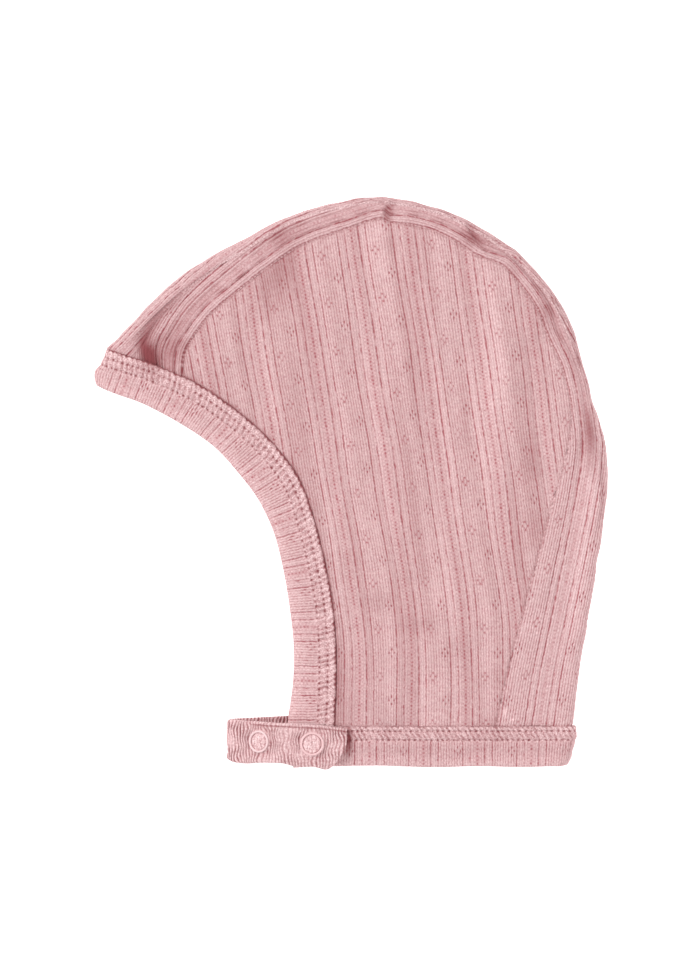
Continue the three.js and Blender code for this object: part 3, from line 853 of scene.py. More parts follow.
# x, y, radius in x, radius in y, shade: where the near cloth turns from the light, or below 0
# towards it
SHADOWS = np.array([
    (-45, 40, 45, 60, 0.04),
    (-2, -70, 26, 34, 0.03),
    (16.6, 97, 1.8, 6, 0.18),
    (-29, 87, 7, 14, 0.46),
    (-34, 74, 7, 10, 0.2),
    (-4, -80, 2.6, 18, 0.28),
    (73, 8, 3.5, 10, 0.26),
    (75, -18, 3.5, 9, 0.28),
    (46, 30, 2, 28, 0.12),
    (-1, -32, 4, 9, 0.16),
    (12, -47, 7, 5, 0.16),
    (28, -56, 9, 4, 0.18),
    (41, -66, 5, 8, 0.2),
    (57, -97, 4, 4, 0.24),
    (58, 34, 7, 30, -0.19),
    (17, -83, 4, 9, -0.12),
    (-16, 84, 4, 14, -0.06),
    (-16, -2, 3, 30, -0.06),
])


def side_skin(side, outer, column_step, row_step):
    """One skin of a side panel: the near one (side 1) is the hat's height less a dip at its edges,
    plus the knit, and the far one (side -1) lies flat. The inner skins are a wall's depth off."""
    outline = cut_outline if side > 0 else side_outline
    u, v, x, y, cells = trimmed_plan(outline, column_step, row_step)
    uv = np.stack([u, v + FLOWER_LEVEL], -1).reshape(-1, 2)
    away = nearest_on(side_outline, x, y)[0] * np.where(inside_of(side_outline, x, y), 1, -1)
    from_face = nearest_on(face_sewn, x, y)[0]
    from_seam, place, _ = nearest_on(seam_line, x, y)
    place = place / SEAM_STEPS
    ridged = 1 - down_back(place)
    tuck = 0.25 + (TUCK - 0.25) * bell(from_seam, 4)
    dip = tuck * (1 - smooth(0, 1.5, away)) + 0.4 * np.exp(-np.maximum(away, 0) / 2.4)
    dip = dip * (1 - 0.5 * bell(place - EASED_AT, EASED_REACH) * bell(from_seam, 4))
    gathered = 1 + 0.45 * smooth(60, 100, y)
    relief = knit(u, v + FLOWER_LEVEL, gathered) * smooth(-0.2, 1.6, away)
    # The shade is painted: shadow where the panel's edge dips under its neighbours, light and dark
    # streaks along the wales, shadow beside the face binding and in the needle pits at the seam, and
    # the soft spots of the table.
    shade = 0.34 * bell(away, 0.8) * (0.6 + 0.4 * ridged)
    shade = shade + 0.02 + 0.14 * ripple(2.8 * u, 0.16 * v, 22, 61)
    face_binding_shadow = 0.34 * np.exp(-np.maximum(from_face - 0.4, 0) / 1.3)
    face_binding_shadow = face_binding_shadow + 0.6 * bell(from_face - 0.2, 0.55)
    shade = shade + face_binding_shadow * (1 + 0.3 * ripple(x, y, 7, 45)) * smooth(-2, 0, away)
    pit = bell(wrapped(y + 0.3 * x, PITS), 0.5)
    shade = shade + 0.3 * pit * bell(from_seam - 0.9, 0.4)
    shade = shade + spots_of(SHADOWS, x, y)
    if side > 0 and outer:
        z = lie(x, y) - dip + relief
    elif side > 0:
        z = lie(x, y) - dip + (relief * 0.3 - CLOTH * smooth(-0.9, 2.4, away) - 0.05)
    elif outer:
        z = np.maximum(0.35 - relief, 0)
    else:
        z = CLOTH - 0.3 * bell(away, 0.8) + relief * 0.15
    marks = np.stack([shade * (side > 0), 0.55 + 0.45 * smooth(0, 2, away)], -1).reshape(-1, 2)
    return np.stack([x, y, z], -1).reshape(-1, 3), cells, uv, marks


left_panel = closed_panel("side_panel_left_knit", side_skin(1, True, 1, 1),
                          side_skin(1, False, 6, 4), panel_knit)
place_piece(left_panel, "side_panel_left")
right_panel = closed_panel("side_panel_right_knit", side_skin(-1, True, 2, 2),
                           side_skin(-1, False, 3, 4), panel_knit)
place_piece(right_panel, "side_panel_right")

# %% [markdown]
# ## The centre panel
# This long strip runs from the forehead over the crown to the nape. The hat is folded along its
# middle, so it shows as a rim that turns away, and lies double. Each section is a line that starts
# at the far seam, turns round the fold and ends at the near seam. Where the strip is narrow, wales
# are lost in its creases or run out into the seam, so a lattice of the cloth is laid off along
# each section by a rule for how many are lost, and both long borders are trimmed.
# %% Sections of the strip
SEAM_LIP, LIP_WALL = 0.5, 0.8  # how far its rolled edge laps over the side panel; its wall there
SEAM_STITCH = 1.4  # length of a stitch along the strip's seam
HEM = 0.25  # clear space between the strip and the far side panel
TURN_POINTS, LEVEL_POINTS = 14, 90  # points of a section round its turn and on each level side
PAST_SEAM = 3  # how far a section goes on beyond the seam
STRIP_ACROSS = (-38, 48)  # the cloth that the strip is cut from


def hollow(share, place, half_width):
    """A smooth hollow of unit depth: (1 + cos(pi d)) / 2 out to its half width."""
    return (1 + np.cos(np.pi * np.clip(np.abs(share - place) / half_width, 0, 1))) / 2


def sections(place):
    """The strip's base sections at an array of places: points [section, point, 3], each point's
    distance from the fold (above zero on the near side), and the near and far seams' distances."""
    rows = rows_at(CENTRE, place)
    fold, seam, turn = rows[:, :2], rows[:, 2:4], rows[:, 4:5]
    width = np.linalg.norm(seam - fold, axis=1, keepdims=True)
    inward_way = (seam - fold) / width
    dents = rows_at(DENTS, np.minimum(place, len(DENTS) - 1))
    angle = np.linspace(0, np.pi / 2, TURN_POINTS)[None, 1:]
    turned_in = turn * (1 - np.cos(angle))
    level_in = turn + np.linspace(0, 1, LEVEL_POINTS)[None, 1:] * (width + PAST_SEAM - turn)
    share = np.clip((level_in - turn) / (width - turn), 0, 1)
    inward = np.hstack([turned_in, level_in])
    seam_height = lie(seam[:, 0], seam[:, 1])[:, None]
    along = level_in / width
    sunk = dents[:, 1:2] * hollow(along, dents[:, 0:1], 0.25)
    sunk = sunk + dents[:, 3:4] * hollow(along, dents[:, 2:3], 0.15)
    near_level = SHOULDER + (seam_height - SHOULDER) * smooth(0, 1, share) - sunk
    near_z = np.hstack([FOLD_HALF * (1 + np.sin(angle)) + 0 * turn, near_level])
    far_z = np.hstack([FOLD_HALF * (1 - np.sin(angle)) + 0 * turn, 0 * level_in])
    zero = np.zeros_like(turn)
    reach = np.hstack([inward[:, ::-1], zero, inward])
    height = np.hstack([far_z[:, ::-1], zero + FOLD_HALF, near_z])
    plan = fold[:, None] + inward_way[:, None] * reach[..., None]
    points = np.concatenate([plan, height[..., None]], -1)
    steps = np.linalg.norm(np.diff(points, axis=1), axis=-1)
    way = np.hstack([zero, np.cumsum(steps, axis=1)])
    middle = inward.shape[1]
    way = way - way[:, middle:middle + 1]
    near_way, far_way = way[:, middle + 1:], -way[:, :middle][:, ::-1]
    near, far = (
        np.array([np.interp(*row) for row in zip(width[:, 0], inward, run)])
        for run in (near_way, far_way)
    )
    return points, way, near, far


fold_places = np.linspace(0, LAST_SECTION, 2101)
fold_rows = rows_at(CENTRE, fold_places)[:, :2]
fold_way = way_along(fold_rows)

# %% How the strip's wales are lost
NAPE_START = 15.0
FULL_WIDTH, NAPE_WIDTH = sections(np.array([0.0, NAPE_START]))[2]
GATHER_MOST = 13.0  # the most cloth that is lost in a crease
GATHER_AT = np.array([14, 12.2, 9.2, 8.6, 7.2, 6.2, 5, 4.6, 4.4])  # where, by sections
LADDER_IN = 6.05  # a ladder's distance from the seam over the crown
STRETCH = 1.09  # the strip is pulled a little along its courses' way
FLOWER_AT = -65.2  # y of a flower beside the fold at the nape, which FLOWER_ROW counts rows to
off_flower = np.abs(fold_rows[:, 1] - FLOWER_AT) + 1000 * (fold_places < NAPE_START)
FLOWER_ROW = round(fold_way[np.argmin(off_flower)] / (COURSE_ROW * STRETCH))


def laid_off(u, place, near_seam):
    """Distances from the fold of the cloth's wales u, and how squeezed they are. Over the crown
    the seam follows a wale and some wales are lost in creases. At the nape the strip widens, and
    half of that comes from new wales at each border."""
    nape = smooth(NAPE_START - 1, NAPE_START + 1, place)
    lost = FULL_WIDTH - near_seam
    lost = lost + nape * (FULL_WIDTH - NAPE_WIDTH - 0.5 * (near_seam - NAPE_WIDTH) - lost)
    squeeze = np.minimum(lost, GATHER_MOST) * (1 - smooth(8, 15, place))
    start = np.interp(place, np.arange(len(GATHER_AT)), GATHER_AT) + lost - squeeze
    share = np.clip((u[None, :] - start[:, None]) / (1.03 * squeeze + 0.4)[:, None], 0, 1)
    off_fold = u[None, :] - squeeze[:, None] * share - (lost - squeeze)[:, None]
    squeezed = np.clip(squeeze[:, None] / 2, 0, 1) * ((share > 0) & (share < 1))
    return off_fold, squeezed


print("the strip is", np.round([FULL_WIDTH, NAPE_WIDTH], 1), "mm wide at the forehead and the back")

# %% Creases and puckers of the strip
# x, y, width on the left of its way, width on the right, depth, shade, lip on the right
CREASES = {
    "forehead": np.array([
        (-79.8, 48.0, 2.6, 3.6, 1.3, 0.6, 0.0), (-82.6, 56.4, 2.4, 3.2, 1.0, 0.7, 0.1),
        (-77.6, 65.2, 2.2, 2.6, 0.7, 0.6, 0.2), (-72.4, 70.4, 2.0, 2.2, 0.5, 0.44, 0.2),
        (-64.8, 77.6, 1.8, 1.8, 0.35, 0.3, 0.2), (-57.2, 84.4, 1.6, 1.6, 0.22, 0.2, 0.1),
        (-48, 90.8, 1.4, 1.4, 0.12, 0.12, 0.1), (-36, 97.2, 1.4, 1.4, 0.1, 0.04, 0.0)]),
    "forehead_inner": np.array([
        (-81, 49.6, 2.2, 2.2, 0.6, 0.1, 0.0), (-77.4, 56.4, 1.7, 2.0, 0.7, 0.16, 0.2),
        (-71.3, 60.8, 1.6, 1.9, 0.7, 0.14, 0.2), (-63.2, 68.5, 1.5, 1.8, 0.6, 0.13, 0.2),
        (-57, 74.6, 1.4, 1.7, 0.6, 0.12, 0.1), (-51.6, 78.2, 1.4, 1.6, 0.3, 0.06, 0.0)]),
    "crown_pucker": np.array([
        (17.4, 112.6, 1.1, 0.8, 0.2, 0.2, 0.1), (15.8, 110.6, 2.4, 1.1, 0.5, 0.44, 0.3),
        (14.5, 108.4, 3.4, 1.2, 0.75, 0.5, 0.5), (14.4, 106.2, 3.2, 1.2, 0.75, 0.54, 0.5),
        (15.4, 104.4, 1.8, 0.9, 0.5, 0.5, 0.4), (17.2, 102.8, 0.9, 0.7, 0.2, 0.2, 0.1)]),
    "crown_hook": np.array([
        (8.4, 112.6, 0.5, 0.5, 0.1, 0.1, 0.0), (11.6, 112.6, 0.5, 0.5, 0.3, 0.2, 0.0),
        (14.6, 111.7, 0.6, 0.6, 0.5, 0.3, 0.0), (15.6, 110.2, 0.7, 0.6, 0.4, 0.26, 0.0)]),
    "back_pucker": np.array([
        (47.0, 103.6, 1.0, 1.0, 0.2, 0.08, 0.2), (48.4, 101.0, 1.4, 1.0, 0.9, 0.24, 0.5),
        (51.8, 96.4, 1.4, 1.0, 1.0, 0.28, 0.5), (54.8, 92.4, 1.0, 0.9, 0.3, 0.1, 0.2)]),
    "back_edge": np.array([
        (53.4, 96.8, 0.9, 1.1, 0.7, 0.24, 0.3), (60, 93.4, 0.8, 1.0, 0.6, 0.22, 0.3),
        (67.1, 88.4, 0.8, 1.0, 0.7, 0.27, 0.3), (73.2, 81.1, 0.8, 1.0, 0.7, 0.27, 0.3),
        (78.7, 74.4, 0.8, 1.1, 0.7, 0.27, 0.3), (80.6, 70.7, 0.8, 1.1, 0.7, 0.24, 0.3),
        (83.6, 60.3, 0.8, 1.2, 0.6, 0.2, 0.3), (87.9, 53.5, 0.9, 1.3, 0.5, 0.16, 0.2),
        (91.4, 46, 1.1, 1.5, 0.4, 0.1, 0.1), (93.6, 34.8, 1.2, 1.7, 0.4, 0.08, 0.1),
        (94.4, 24.8, 1.3, 1.9, 0.5, 0.08, 0.1), (92.8, 12.8, 1.3, 1.9, 0.5, 0.08, 0.1),
        (90.6, -4, 1.3, 1.9, 0.4, 0.06, 0.1), (88.6, -18, 1.3, 1.9, 0.1, 0.02, 0.0)]),
    "nape_edge": np.array([
        (100.4, 14, 1.0, 1.2, 0.2, 0.05, 0.0), (101.2, 2, 0.8, 1.0, 0.5, 0.2, 0.2),
        (100.8, -10, 0.8, 1.0, 0.5, 0.2, 0.2), (98.4, -22, 1.0, 1.2, 0.2, 0.05, 0.0)]),
}
# distance from the seam and shade of the fine dark lines beside it over the crown
CROWN_LINES = ((1.9, 0.24), (4.4, 0.6), (5.7, 0.46), (7.8, 0.56), (9.1, 0.56), (10.6, 0.36))
# x, y, radius in x, radius in y, shade: the strip's soft shadows, and at the nape two light ends
# of thread (below 0) and three small dark gaps in the seam
STRIP_SHADOWS = np.array([
    (-79, 51, 9, 7, 0.42),
    (-69, 54, 6, 7, 0.28),
    (-28, 99, 8, 6, 0.34),
    (49, 98.6, 4, 4, 0.5),
    (65, 84, 3, 5, 0.28),
    (77, 67, 4, 6, 0.34),
    (96.5, 22, 3, 12, 0.7),
    (61.9, -91.7, 0.5, 1.4, -0.7),
    (64.9, -94.7, 0.8, 0.6, -0.6),
    (61.4, -88.6, 0.5, 0.7, 0.5),
    (62.8, -86, 0.5, 0.7, 0.4),
    (64, -83, 0.5, 0.7, 0.4),
])


def creases(x, y):
    """Depth and shade of all the creases: a bell across each, with its own width on either side,
    less a soft lip raised beyond it on the right."""
    depth, dark = np.zeros(np.shape(x)), np.zeros(np.shape(x))
    for rows in CREASES.values():
        line = rows_at(rows, np.linspace(0, len(rows) - 1, 6 * len(rows)))
        away, place, side = nearest_on(line[:, :2], x, y)
        _, _, left, right, deep, shade, lip = along_chain(line, place)
        fade = bell(away, np.where(side > 0, left, right))
        raised = bell(away - 0.6 - right, 0.35 + 0.35 * right) * (side < 0)
        depth = depth + deep * fade - lip * raised
        dark = dark + shade * fade
    return depth, dark


# %% The strip's cloth, laid off and trimmed
def strip_cloth(column_step, row_step):
    """A lattice of the strip's cloth, trimmed at both seams, as named arrays: its base surface,
    normals and cells, its cloth coordinates u and v, its way along the fold and its place by
    sections, each point's distance off the fold, in from the near seam's lip and from the nearer
    end, and how squeezed it is, how far on the near side and how far down the back."""
    count = int(fold_way[-1] / (4 * COURSE_ROW * STRETCH)) * 4 // row_step + 1
    along = np.linspace(0, fold_way[-1], count)
    place = np.interp(along, fold_way, fold_places)
    points, way, near_seam, far_seam = sections(place)
    u = cloth_lines(STRIP_ACROSS, COLUMN * column_step)
    near_seam = near_seam + wander(place)
    off_fold, squeezed = laid_off(u, place, near_seam)
    near_end = near_seam[:, None] + SEAM_LIP
    far_end = -far_seam[:, None] + HEM
    keep = (off_fold <= near_end) & (off_fold >= far_end)
    cells, border = trimmed(keep)
    border[[0, -1], 1:-1] &= ~(keep[[0, -1], 2:] & keep[[0, -1], :-2])
    off_fold = np.where(border, np.where(off_fold > 0, near_end, far_end), off_fold)
    off_fold = np.clip(off_fold, far_end - 0.2, near_end)
    base = np.stack([
        np.array([np.interp(o, w, p[:, axis]) for o, w, p in zip(off_fold, way, points)])
        for axis in range(3)
    ], -1)
    normal = normals_of(base)
    if normal[count // 2, np.argmin(np.abs(off_fold[count // 2] - 9)), 2] < 0:
        normal = -normal
    cloth_u, cloth_v = np.broadcast_arrays(
        u[None, :] - (FULL_WIDTH - LADDER_IN),
        COURSE_ROW * (row_step * np.arange(count) - FLOWER_ROW)[:, None] + FLOWER_STEP / 2,
    )
    return SimpleNamespace(
        base=base, normal=normal, cells=cells, u=cloth_u, v=cloth_v, along=along, place=place,
        off_fold=off_fold, lip=near_end - off_fold, squeezed=squeezed,
        near=smooth(-2, 2, off_fold), back=down_back(place)[:, None],
        end=np.minimum(along, along[-1] - along)[:, None] + 0 * off_fold,
    )


# %% Shade of the strip
def strip_shade(cloth, dark):
    """Painted shade of the strip, added to its creases': soft spots of painted shadow and two pale
    ends of thread, a lit ridge down the back painted lighter, painted shade in the jagged stitches
    at the seam, over the crown the fine lines beside it, and more where the cloth is squeezed and at
    its ends."""
    x, y = cloth.base[..., 0], cloth.base[..., 1]
    lip, back, along = cloth.lip, cloth.back, cloth.along
    over_crown = 1 - back
    ridge = bell(cloth.off_fold - 8, 3) * back * smooth(-80, -50, y) * smooth(8, -2, y)
    dark = dark + spots_of(STRIP_SHADOWS, x, y) * smooth(3, 7, cloth.off_fold) - 0.22 * ridge
    jag = 0.5 + 0.5 * np.cos(2 * np.pi * along / SEAM_STITCH + 1.8 * ripple(along, 0 * along, 9, 41))
    jag = jag[:, None]
    rough = (1 + 0.8 * (1 - smooth(0.5, 2.5, cloth.place)))[:, None]
    fine_lines = sum(deep * bell(lip - at, 0.27) for at, deep in CROWN_LINES)
    fine_lines = fine_lines * np.clip(1 + 0.5 * ripple(cloth.u, cloth.v, 11, 43), 0.2, 1.8)
    fine_lines = fine_lines * over_crown * (1 - cloth.squeezed)
    at_seam = rough * jag * bell(lip - 0.3, 0.4 * rough) * over_crown
    dark = (dark + at_seam + fine_lines) * cloth.near
    dark = dark + 0.6 * jag * bell(lip - 0.3, 0.6) * back
    return dark + 0.1 * cloth.squeezed + 0.3 * bell(cloth.end, 0.9) * cloth.near


# %% One skin of the strip
def strip_skin(outer, column_step, row_step):
    """One skin of the centre panel: the outer one is its base plus the knit and the rolled edge at
    the seam, less its creases, and the inner one is a wall's depth in, thinner at the lip."""
    cloth = strip_cloth(column_step, row_step)
    lip, back, near = cloth.lip, cloth.back, cloth.near
    over_crown = 1 - back
    depth, dark = creases(cloth.base[..., 0], cloth.base[..., 1])
    tuck = 0.5 * bell(cloth.end, 1.0) * near
    crisp = (1 - cloth.squeezed) * (0.7 + 0.3 * smooth(0.4, 1.6, lip))
    if outer:
        relief = knit(cloth.u, cloth.v, 1.1 + 0.6 * over_crown) * crisp * (1 + 0.5 * over_crown)
        round_in = np.clip(1 - lip / 1.1, 0, 1)
        edge = -(0.75 - 0.3 * back) * (1 - np.sqrt(1 - round_in ** 2))
        roll = over_crown * (0.3 * bell(lip - 1.9, 1.2) - 0.2 * bell(lip - 4.1, 0.6))
        roll = roll - 0.25 * back * bell(lip, 1.8)
        lift = relief + (edge + roll) * near - depth * near - tuck
    else:
        lift = -LIP_WALL - (CLOTH - LIP_WALL) * smooth(0, 1.8, lip) - depth * near * 0.75 - tuck
    skin = cloth.base + cloth.normal * lift[..., None]
    skin[..., 2] = np.maximum(skin[..., 2], 0)
    marks = np.stack([strip_shade(cloth, dark), crisp], -1).reshape(-1, 2)
    uv = np.stack([cloth.u, cloth.v], -1).reshape(-1, 2)
    return skin.reshape(-1, 3), cloth.cells, uv, marks


centre = closed_panel("centre_panel_knit", strip_skin(True, 1, 1),
                      strip_skin(False, 6, 4), centre_knit)
place_piece(centre, "centre_panel")

# %% [markdown]
# ## The bindings
# A binding is a strip of the same knit folded over the raw edge and sewn down with two rows of
# needle holes. Between the rows the cloth is pressed up into slanting puffs, and outside them it
# curls into a thin rolled rim. A closed outline, the strip's own section, is carried along the
# edge: over the near side, round the fold, and back along the far side.
# %% Section of a binding
RIM_ROWS = (-0.5, -0.44, -0.3, -0.1, 0.15, 0.45, 0.8, 1.15, 1.45, 1.7, 1.9, 2.1, 2.3, 2.5, 2.7, 2.9,
            3.1, 3.4, 3.8, 4.2, 4.6, 5, 5.4, 5.75, 6.05, 6.3, 6.55, 6.9, 7.3)
RIM_TOP = 8  # which of these rows runs along the top of the rolled rim
SEWN_ZONE = 7.3  # width of the sewn part on the face binding
HIGH_NEEDLES = 6.3  # distance of the outer row of needle holes from the sewn edge
EDGE_ROWS = (1.3, 0.85, 0.5, 0.24, 0.07, 0.0)  # distance from the free edge, on its round
PLAIN_STEPS = 16
UNDER_ROWS = (0.07, 0.3, 0.8, 1.3)
EDGE_ROUND = 0.8  # radius of the sewn edge; the free edge has half the binding's thickness
HALF_TURN = 25  # points of a binding's half turn round the fold
STITCH = 6 * COLUMN  # length of a puff between two needle holes
TWIST = 6 * COLUMN  # length of a bead of the rolled rim
SLANT = 1.7  # how far a puff slants between the needle rows


def band_section(scale):
    """The rows of a binding's section as (kind, amount, below): a distance from the sewn edge, a
    share of the plain part, or a distance from the free edge."""
    rows = [("sewn", at * scale, False) for at in RIM_ROWS]
    rows += [("plain", (k + 1) / (PLAIN_STEPS + 1), False) for k in range(PLAIN_STEPS)]
    rows += [("free", at, False) for at in EDGE_ROWS]
    rows += [("free", at, True) for at in UNDER_ROWS]
    rows += [("plain", share, True) for share in (0.7, 0.35, 0)]
    rows += [("sewn", at, True) for at in (4, 1.2, 0.4, -0.1, -0.4)]
    return rows


def band_path(table, section, scale, steps=16):
    """Base points [along, section row, 3] of a binding and their distances from its sewn and free
    edges: the near run at the hat's height, half a turn round the fold, and the far run on the
    floor."""
    last = len(table) - 1
    fine = np.linspace(0, last, last * steps + 1)
    rows = rows_at(table, fine)
    middle = (rows[:, :2] + rows[:, 2:]) / 2
    stop = fine[np.linalg.norm(middle - middle[-1], axis=1) > FOLD_HALF][-1]
    run = np.append(fine[fine < stop], stop)

    def plan(places):
        """Points in plan, and their distances from the sewn and from the free edge."""
        rows = rows_at(table, places)
        width = np.linalg.norm(rows[:, :2] - rows[:, 2:], axis=1)[:, None]
        amounts = np.array([amount for _, amount, _ in section])[None]
        kinds = np.array([kind for kind, _, _ in section])[None]
        zone = SEWN_ZONE * scale
        plain = zone + amounts * (width - BAND / 2 - zone)
        from_sewn = np.where(kinds == "free", width - amounts, plain)
        from_sewn = np.where(kinds == "sewn", amounts, from_sewn)
        way = (rows[:, :2] - rows[:, 2:]) / width
        return rows[:, None, 2:] + way[:, None] * from_sewn[..., None], from_sewn, width - from_sewn

    near, from_sewn, from_free = plan(run)
    tip, tip_sewn, tip_free = plan(np.array([float(last)]))
    drawn_back = 0.3 * (1 - smooth(0, 4.5, tip_free))  # the corner of the free edge is rounded
    tip = tip + (near[-1:] - tip) * drawn_back[..., None]
    to_fold = np.linalg.norm(near - near[-1:], axis=-1)
    height = lie(near[..., 0], near[..., 1]) + PROUD * smooth(0, 12, to_fold)
    near_run = np.concatenate([near, height[..., None]], -1)
    angle = np.linspace(np.pi / 2, -np.pi / 2, HALF_TURN)[1:-1, None]
    turned = tip + (near[-1:] - tip) * (1 - np.cos(angle))[..., None]
    turned_z = FOLD_HALF * (1 + np.sin(angle)) + 0 * turned[..., 0]
    turn_run = np.concatenate([turned, turned_z[..., None]], -1)
    far_run = np.concatenate([near[::-1], 0 * height[::-1, :, None]], -1)
    from_edges = [
        np.vstack([run, np.repeat(turn, len(angle), 0), run[::-1]])
        for run, turn in ((from_sewn, tip_sewn), (from_free, tip_free))
    ]
    return np.vstack([near_run, turn_run, far_run]), *from_edges


def resampled(grid, way, at):
    """Columns of a grid taken at new distances along, a row of distances for each section row."""
    return np.stack([
        np.stack([np.interp(at[:, k], way, grid[:, k, axis]) for k in range(grid.shape[1])], 1)
        for axis in range(grid.shape[2])
    ], -1)


# %% Relief of a binding
def round_at(distance, radius):
    """Height of a quarter circle at a distance from its edge: sqrt(r^2 - (r - distance)^2), and
    the radius itself further in."""
    inward = radius - np.clip(distance, 0, radius)
    return np.sqrt(np.maximum(radius ** 2 - inward ** 2, 0))


def band_relief(along, from_sewn, from_free, below, scale, low, lean, lip_shade, bulge, turned):
    """Offset from the base surface, shade, crispness and sideways push: the round of both edges,
    a rim of twisted beads, two rows of needle holes with puffs like little bars between them, all
    of them uneven, and the knit itself. Where the band turns round the fold, the rows are flatter."""
    sewn_at = from_sewn / scale
    relief = knit(along, from_sewn, 1.2, 0.4)
    strayed = along + 0.26 * ripple(along, sewn_at * 1.4, 5, 51)
    strayed = strayed + 0.12 * ripple(along, sewn_at * 1.4, 2.2, 52)
    uneven = 1 + 0.4 * ripple(along, sewn_at * 0.6, 7, 11) + 0.4 * ripple(along, sewn_at, 3, 14)
    uneven = np.clip(uneven, 0.1, 2)
    puff = 0.5 + 0.5 * np.cos(2 * np.pi * strayed / STITCH)
    pit = bell(wrapped(strayed - STITCH / 2, STITCH), 0.45)
    twist = 0.5 + 0.5 * np.cos(2 * np.pi * (strayed + lean * sewn_at + 1) / TWIST)
    rim = np.clip(1 - ((sewn_at - low / 2 + 0.3) / (low / 2 + 0.3)) ** 2, 0, 1)
    puffed = np.sin(np.pi * np.clip((sewn_at - low) / (HIGH_NEEDLES - low), 0, 1)) ** 0.7
    plain = smooth(SEWN_ZONE - 0.9, SEWN_ZONE + 0.4, sewn_at)
    wales = np.cos(2 * np.pi * along / WALE)
    rows = 1 - 0.7 * turned
    offset = relief * (0.15 + 0.85 * plain) + 0.3 * plain * bell(sewn_at - 9.2, 1.8)
    offset = offset + 0.38 * rim * (0.6 + 0.7 * twist * uneven) * rows + bulge * turned
    offset = offset + puffed * (0.05 + 0.54 * puff * uneven + 0.1 * wales) * rows
    # dark is painted shade between the puffs and the rim's beads, in the needle holes, at the lip and
    # on the inside; near the free edge it is lowered, a painted highlight on the edge's round.
    dark = 0.5 * puffed * (1 - puff) ** 2.2 * uneven + 0.4 * rim * (1 - twist) ** 2 * uneven
    for row, deep in ((low, 0.5), (HIGH_NEEDLES, 0.55)):
        across = bell(sewn_at - row, 0.42)
        offset = offset - deep * across * (0.25 + 0.9 * pit) * rows
        dark = dark + across * (0.06 + 0.95 * pit * np.clip(uneven, 0.2, 1.5))
    dark = dark + lip_shade * bell(sewn_at + 0.45, 0.5) * uneven - 0.16 * bell(from_free - 1.5, 3)
    offset = np.where(below, 0.04 * wales, offset)
    radius = BAND / 2
    free = round_at(from_free, radius)
    sewn = round_at(from_sewn + 0.5 * scale, EDGE_ROUND)
    top = (free - radius) + (sewn - EDGE_ROUND)
    full = smooth(-0.5, 0.9, from_sewn)
    under = -(radius + free) * full - EDGE_ROUND * (1 - full)
    # Lower crisp near the free edge also has the material paint its round lighter.
    crisp = 0.15 + 0.2 * (sewn_at > low) + (0.65 - 0.2 * bell(from_free, 3)) * plain
    crisp = np.where(below, 0.6, crisp)
    push = np.where(below, 0, 0.3 * (twist - 0.5) * uneven * (1 - smooth(0, 1.7, sewn_at)))
    return offset + np.where(below, under, top), np.where(below, 0.1, dark), crisp, push


# %% Tubes with closed ends
def closed_tube(points):
    """Quads of a grid [along, round] that closes on itself round, with a fan over each end."""
    along, around = points.shape[:2]
    number = np.arange(along * around).reshape(along, around)
    wrapped_on = np.roll(number, -1, 1)
    quads = np.stack([number[:-1], wrapped_on[:-1], wrapped_on[1:], number[1:]], -1).reshape(-1, 4)
    middles = points[[0, -1]].mean(1)
    fans = []
    for middle, ring, way in ((along * around, number[0], 1), (along * around + 1, number[-1], -1)):
        fan = np.stack([np.full(around, middle), np.roll(ring, -1), ring], -1)
        fans.append(fan[:, ::way])
    return np.vstack([points.reshape(-1, 3), middles]), quads, np.vstack(fans)


def with_middles(values):
    """A tube's values [along, round, value] as rows, with one more for the middle of each end."""
    flat = values.reshape(-1, values.shape[-1])
    return np.vstack([flat, flat[:1], flat[-1:]])


def add_band(name, table, phase, scale, low, lean, lip_shade, slant, bulge, spots):
    """A binding from its table, resampled so that three columns fall on each wale. Phase shifts
    its cloth, scale is its sewn part's width against the face binding's, low the place of the
    inner needle row, lean the slant of the rim's beads and slant that of the puffs, lip_shade how
    dark its seam is, bulge where it swells at the fold and how much, and spots its soft shadows."""
    section = band_section(scale)
    base, from_sewn, from_free = band_path(table, section, scale)
    below = np.array([under for _, _, under in section])[None]
    middle = len(RIM_ROWS) + PLAIN_STEPS // 2
    way = way_along(base[:, middle])
    count = int(way[-1] / COLUMN)
    along = np.arange(count + 1)[:, None] * COLUMN + 0 * from_sewn[:1]
    ends = smooth(0, 4, along) * smooth(0, 4, way[-1] - along)
    shear = slant * (1 - smooth(low, HIGH_NEEDLES, from_sewn[:1] / scale))
    grid = resampled(np.concatenate([base, from_sewn[..., None], from_free[..., None]], -1), way,
                     along - shear * ends)
    points, from_sewn, from_free = grid[..., :3], grid[..., 3], grid[..., 4]
    top_rows = len(RIM_ROWS) + PLAIN_STEPS
    normal = normals_of(points[:, :top_rows])
    if normal[: count // 3, :, 2].mean() < 0:
        normal = -normal
    row_above = [np.argmin(np.abs(from_sewn[0, :top_rows] - at)) for at in from_sewn[0]]
    normal = normal[:, row_above]
    turned = bell(along - way[-1] / 2, 7)
    at_fold = bulge[1] * bell(from_sewn - bulge[0], 3.5)
    offset, shade, crisp, push = band_relief(along + phase, from_sewn, from_free, below, scale, low,
                                             lean, lip_shade, at_fold, turned)
    outwards = unit(points[:, :1] - points[:, RIM_TOP:RIM_TOP + 1])
    shade = shade + spots_of(spots, points[..., 0], points[..., 1])
    skin = points + normal * offset[..., None] + outwards * push[..., None]
    skin[..., 2] = np.maximum(skin[..., 2], 0)
    vertices, quads, fans = closed_tube(skin)
    uv = with_middles(np.stack([along + phase, from_sewn], -1))
    marks = with_middles(np.stack([shade, crisp], -1))
    return mesh_piece(name, vertices, [quads, fans], uv, marks, binding_knit)


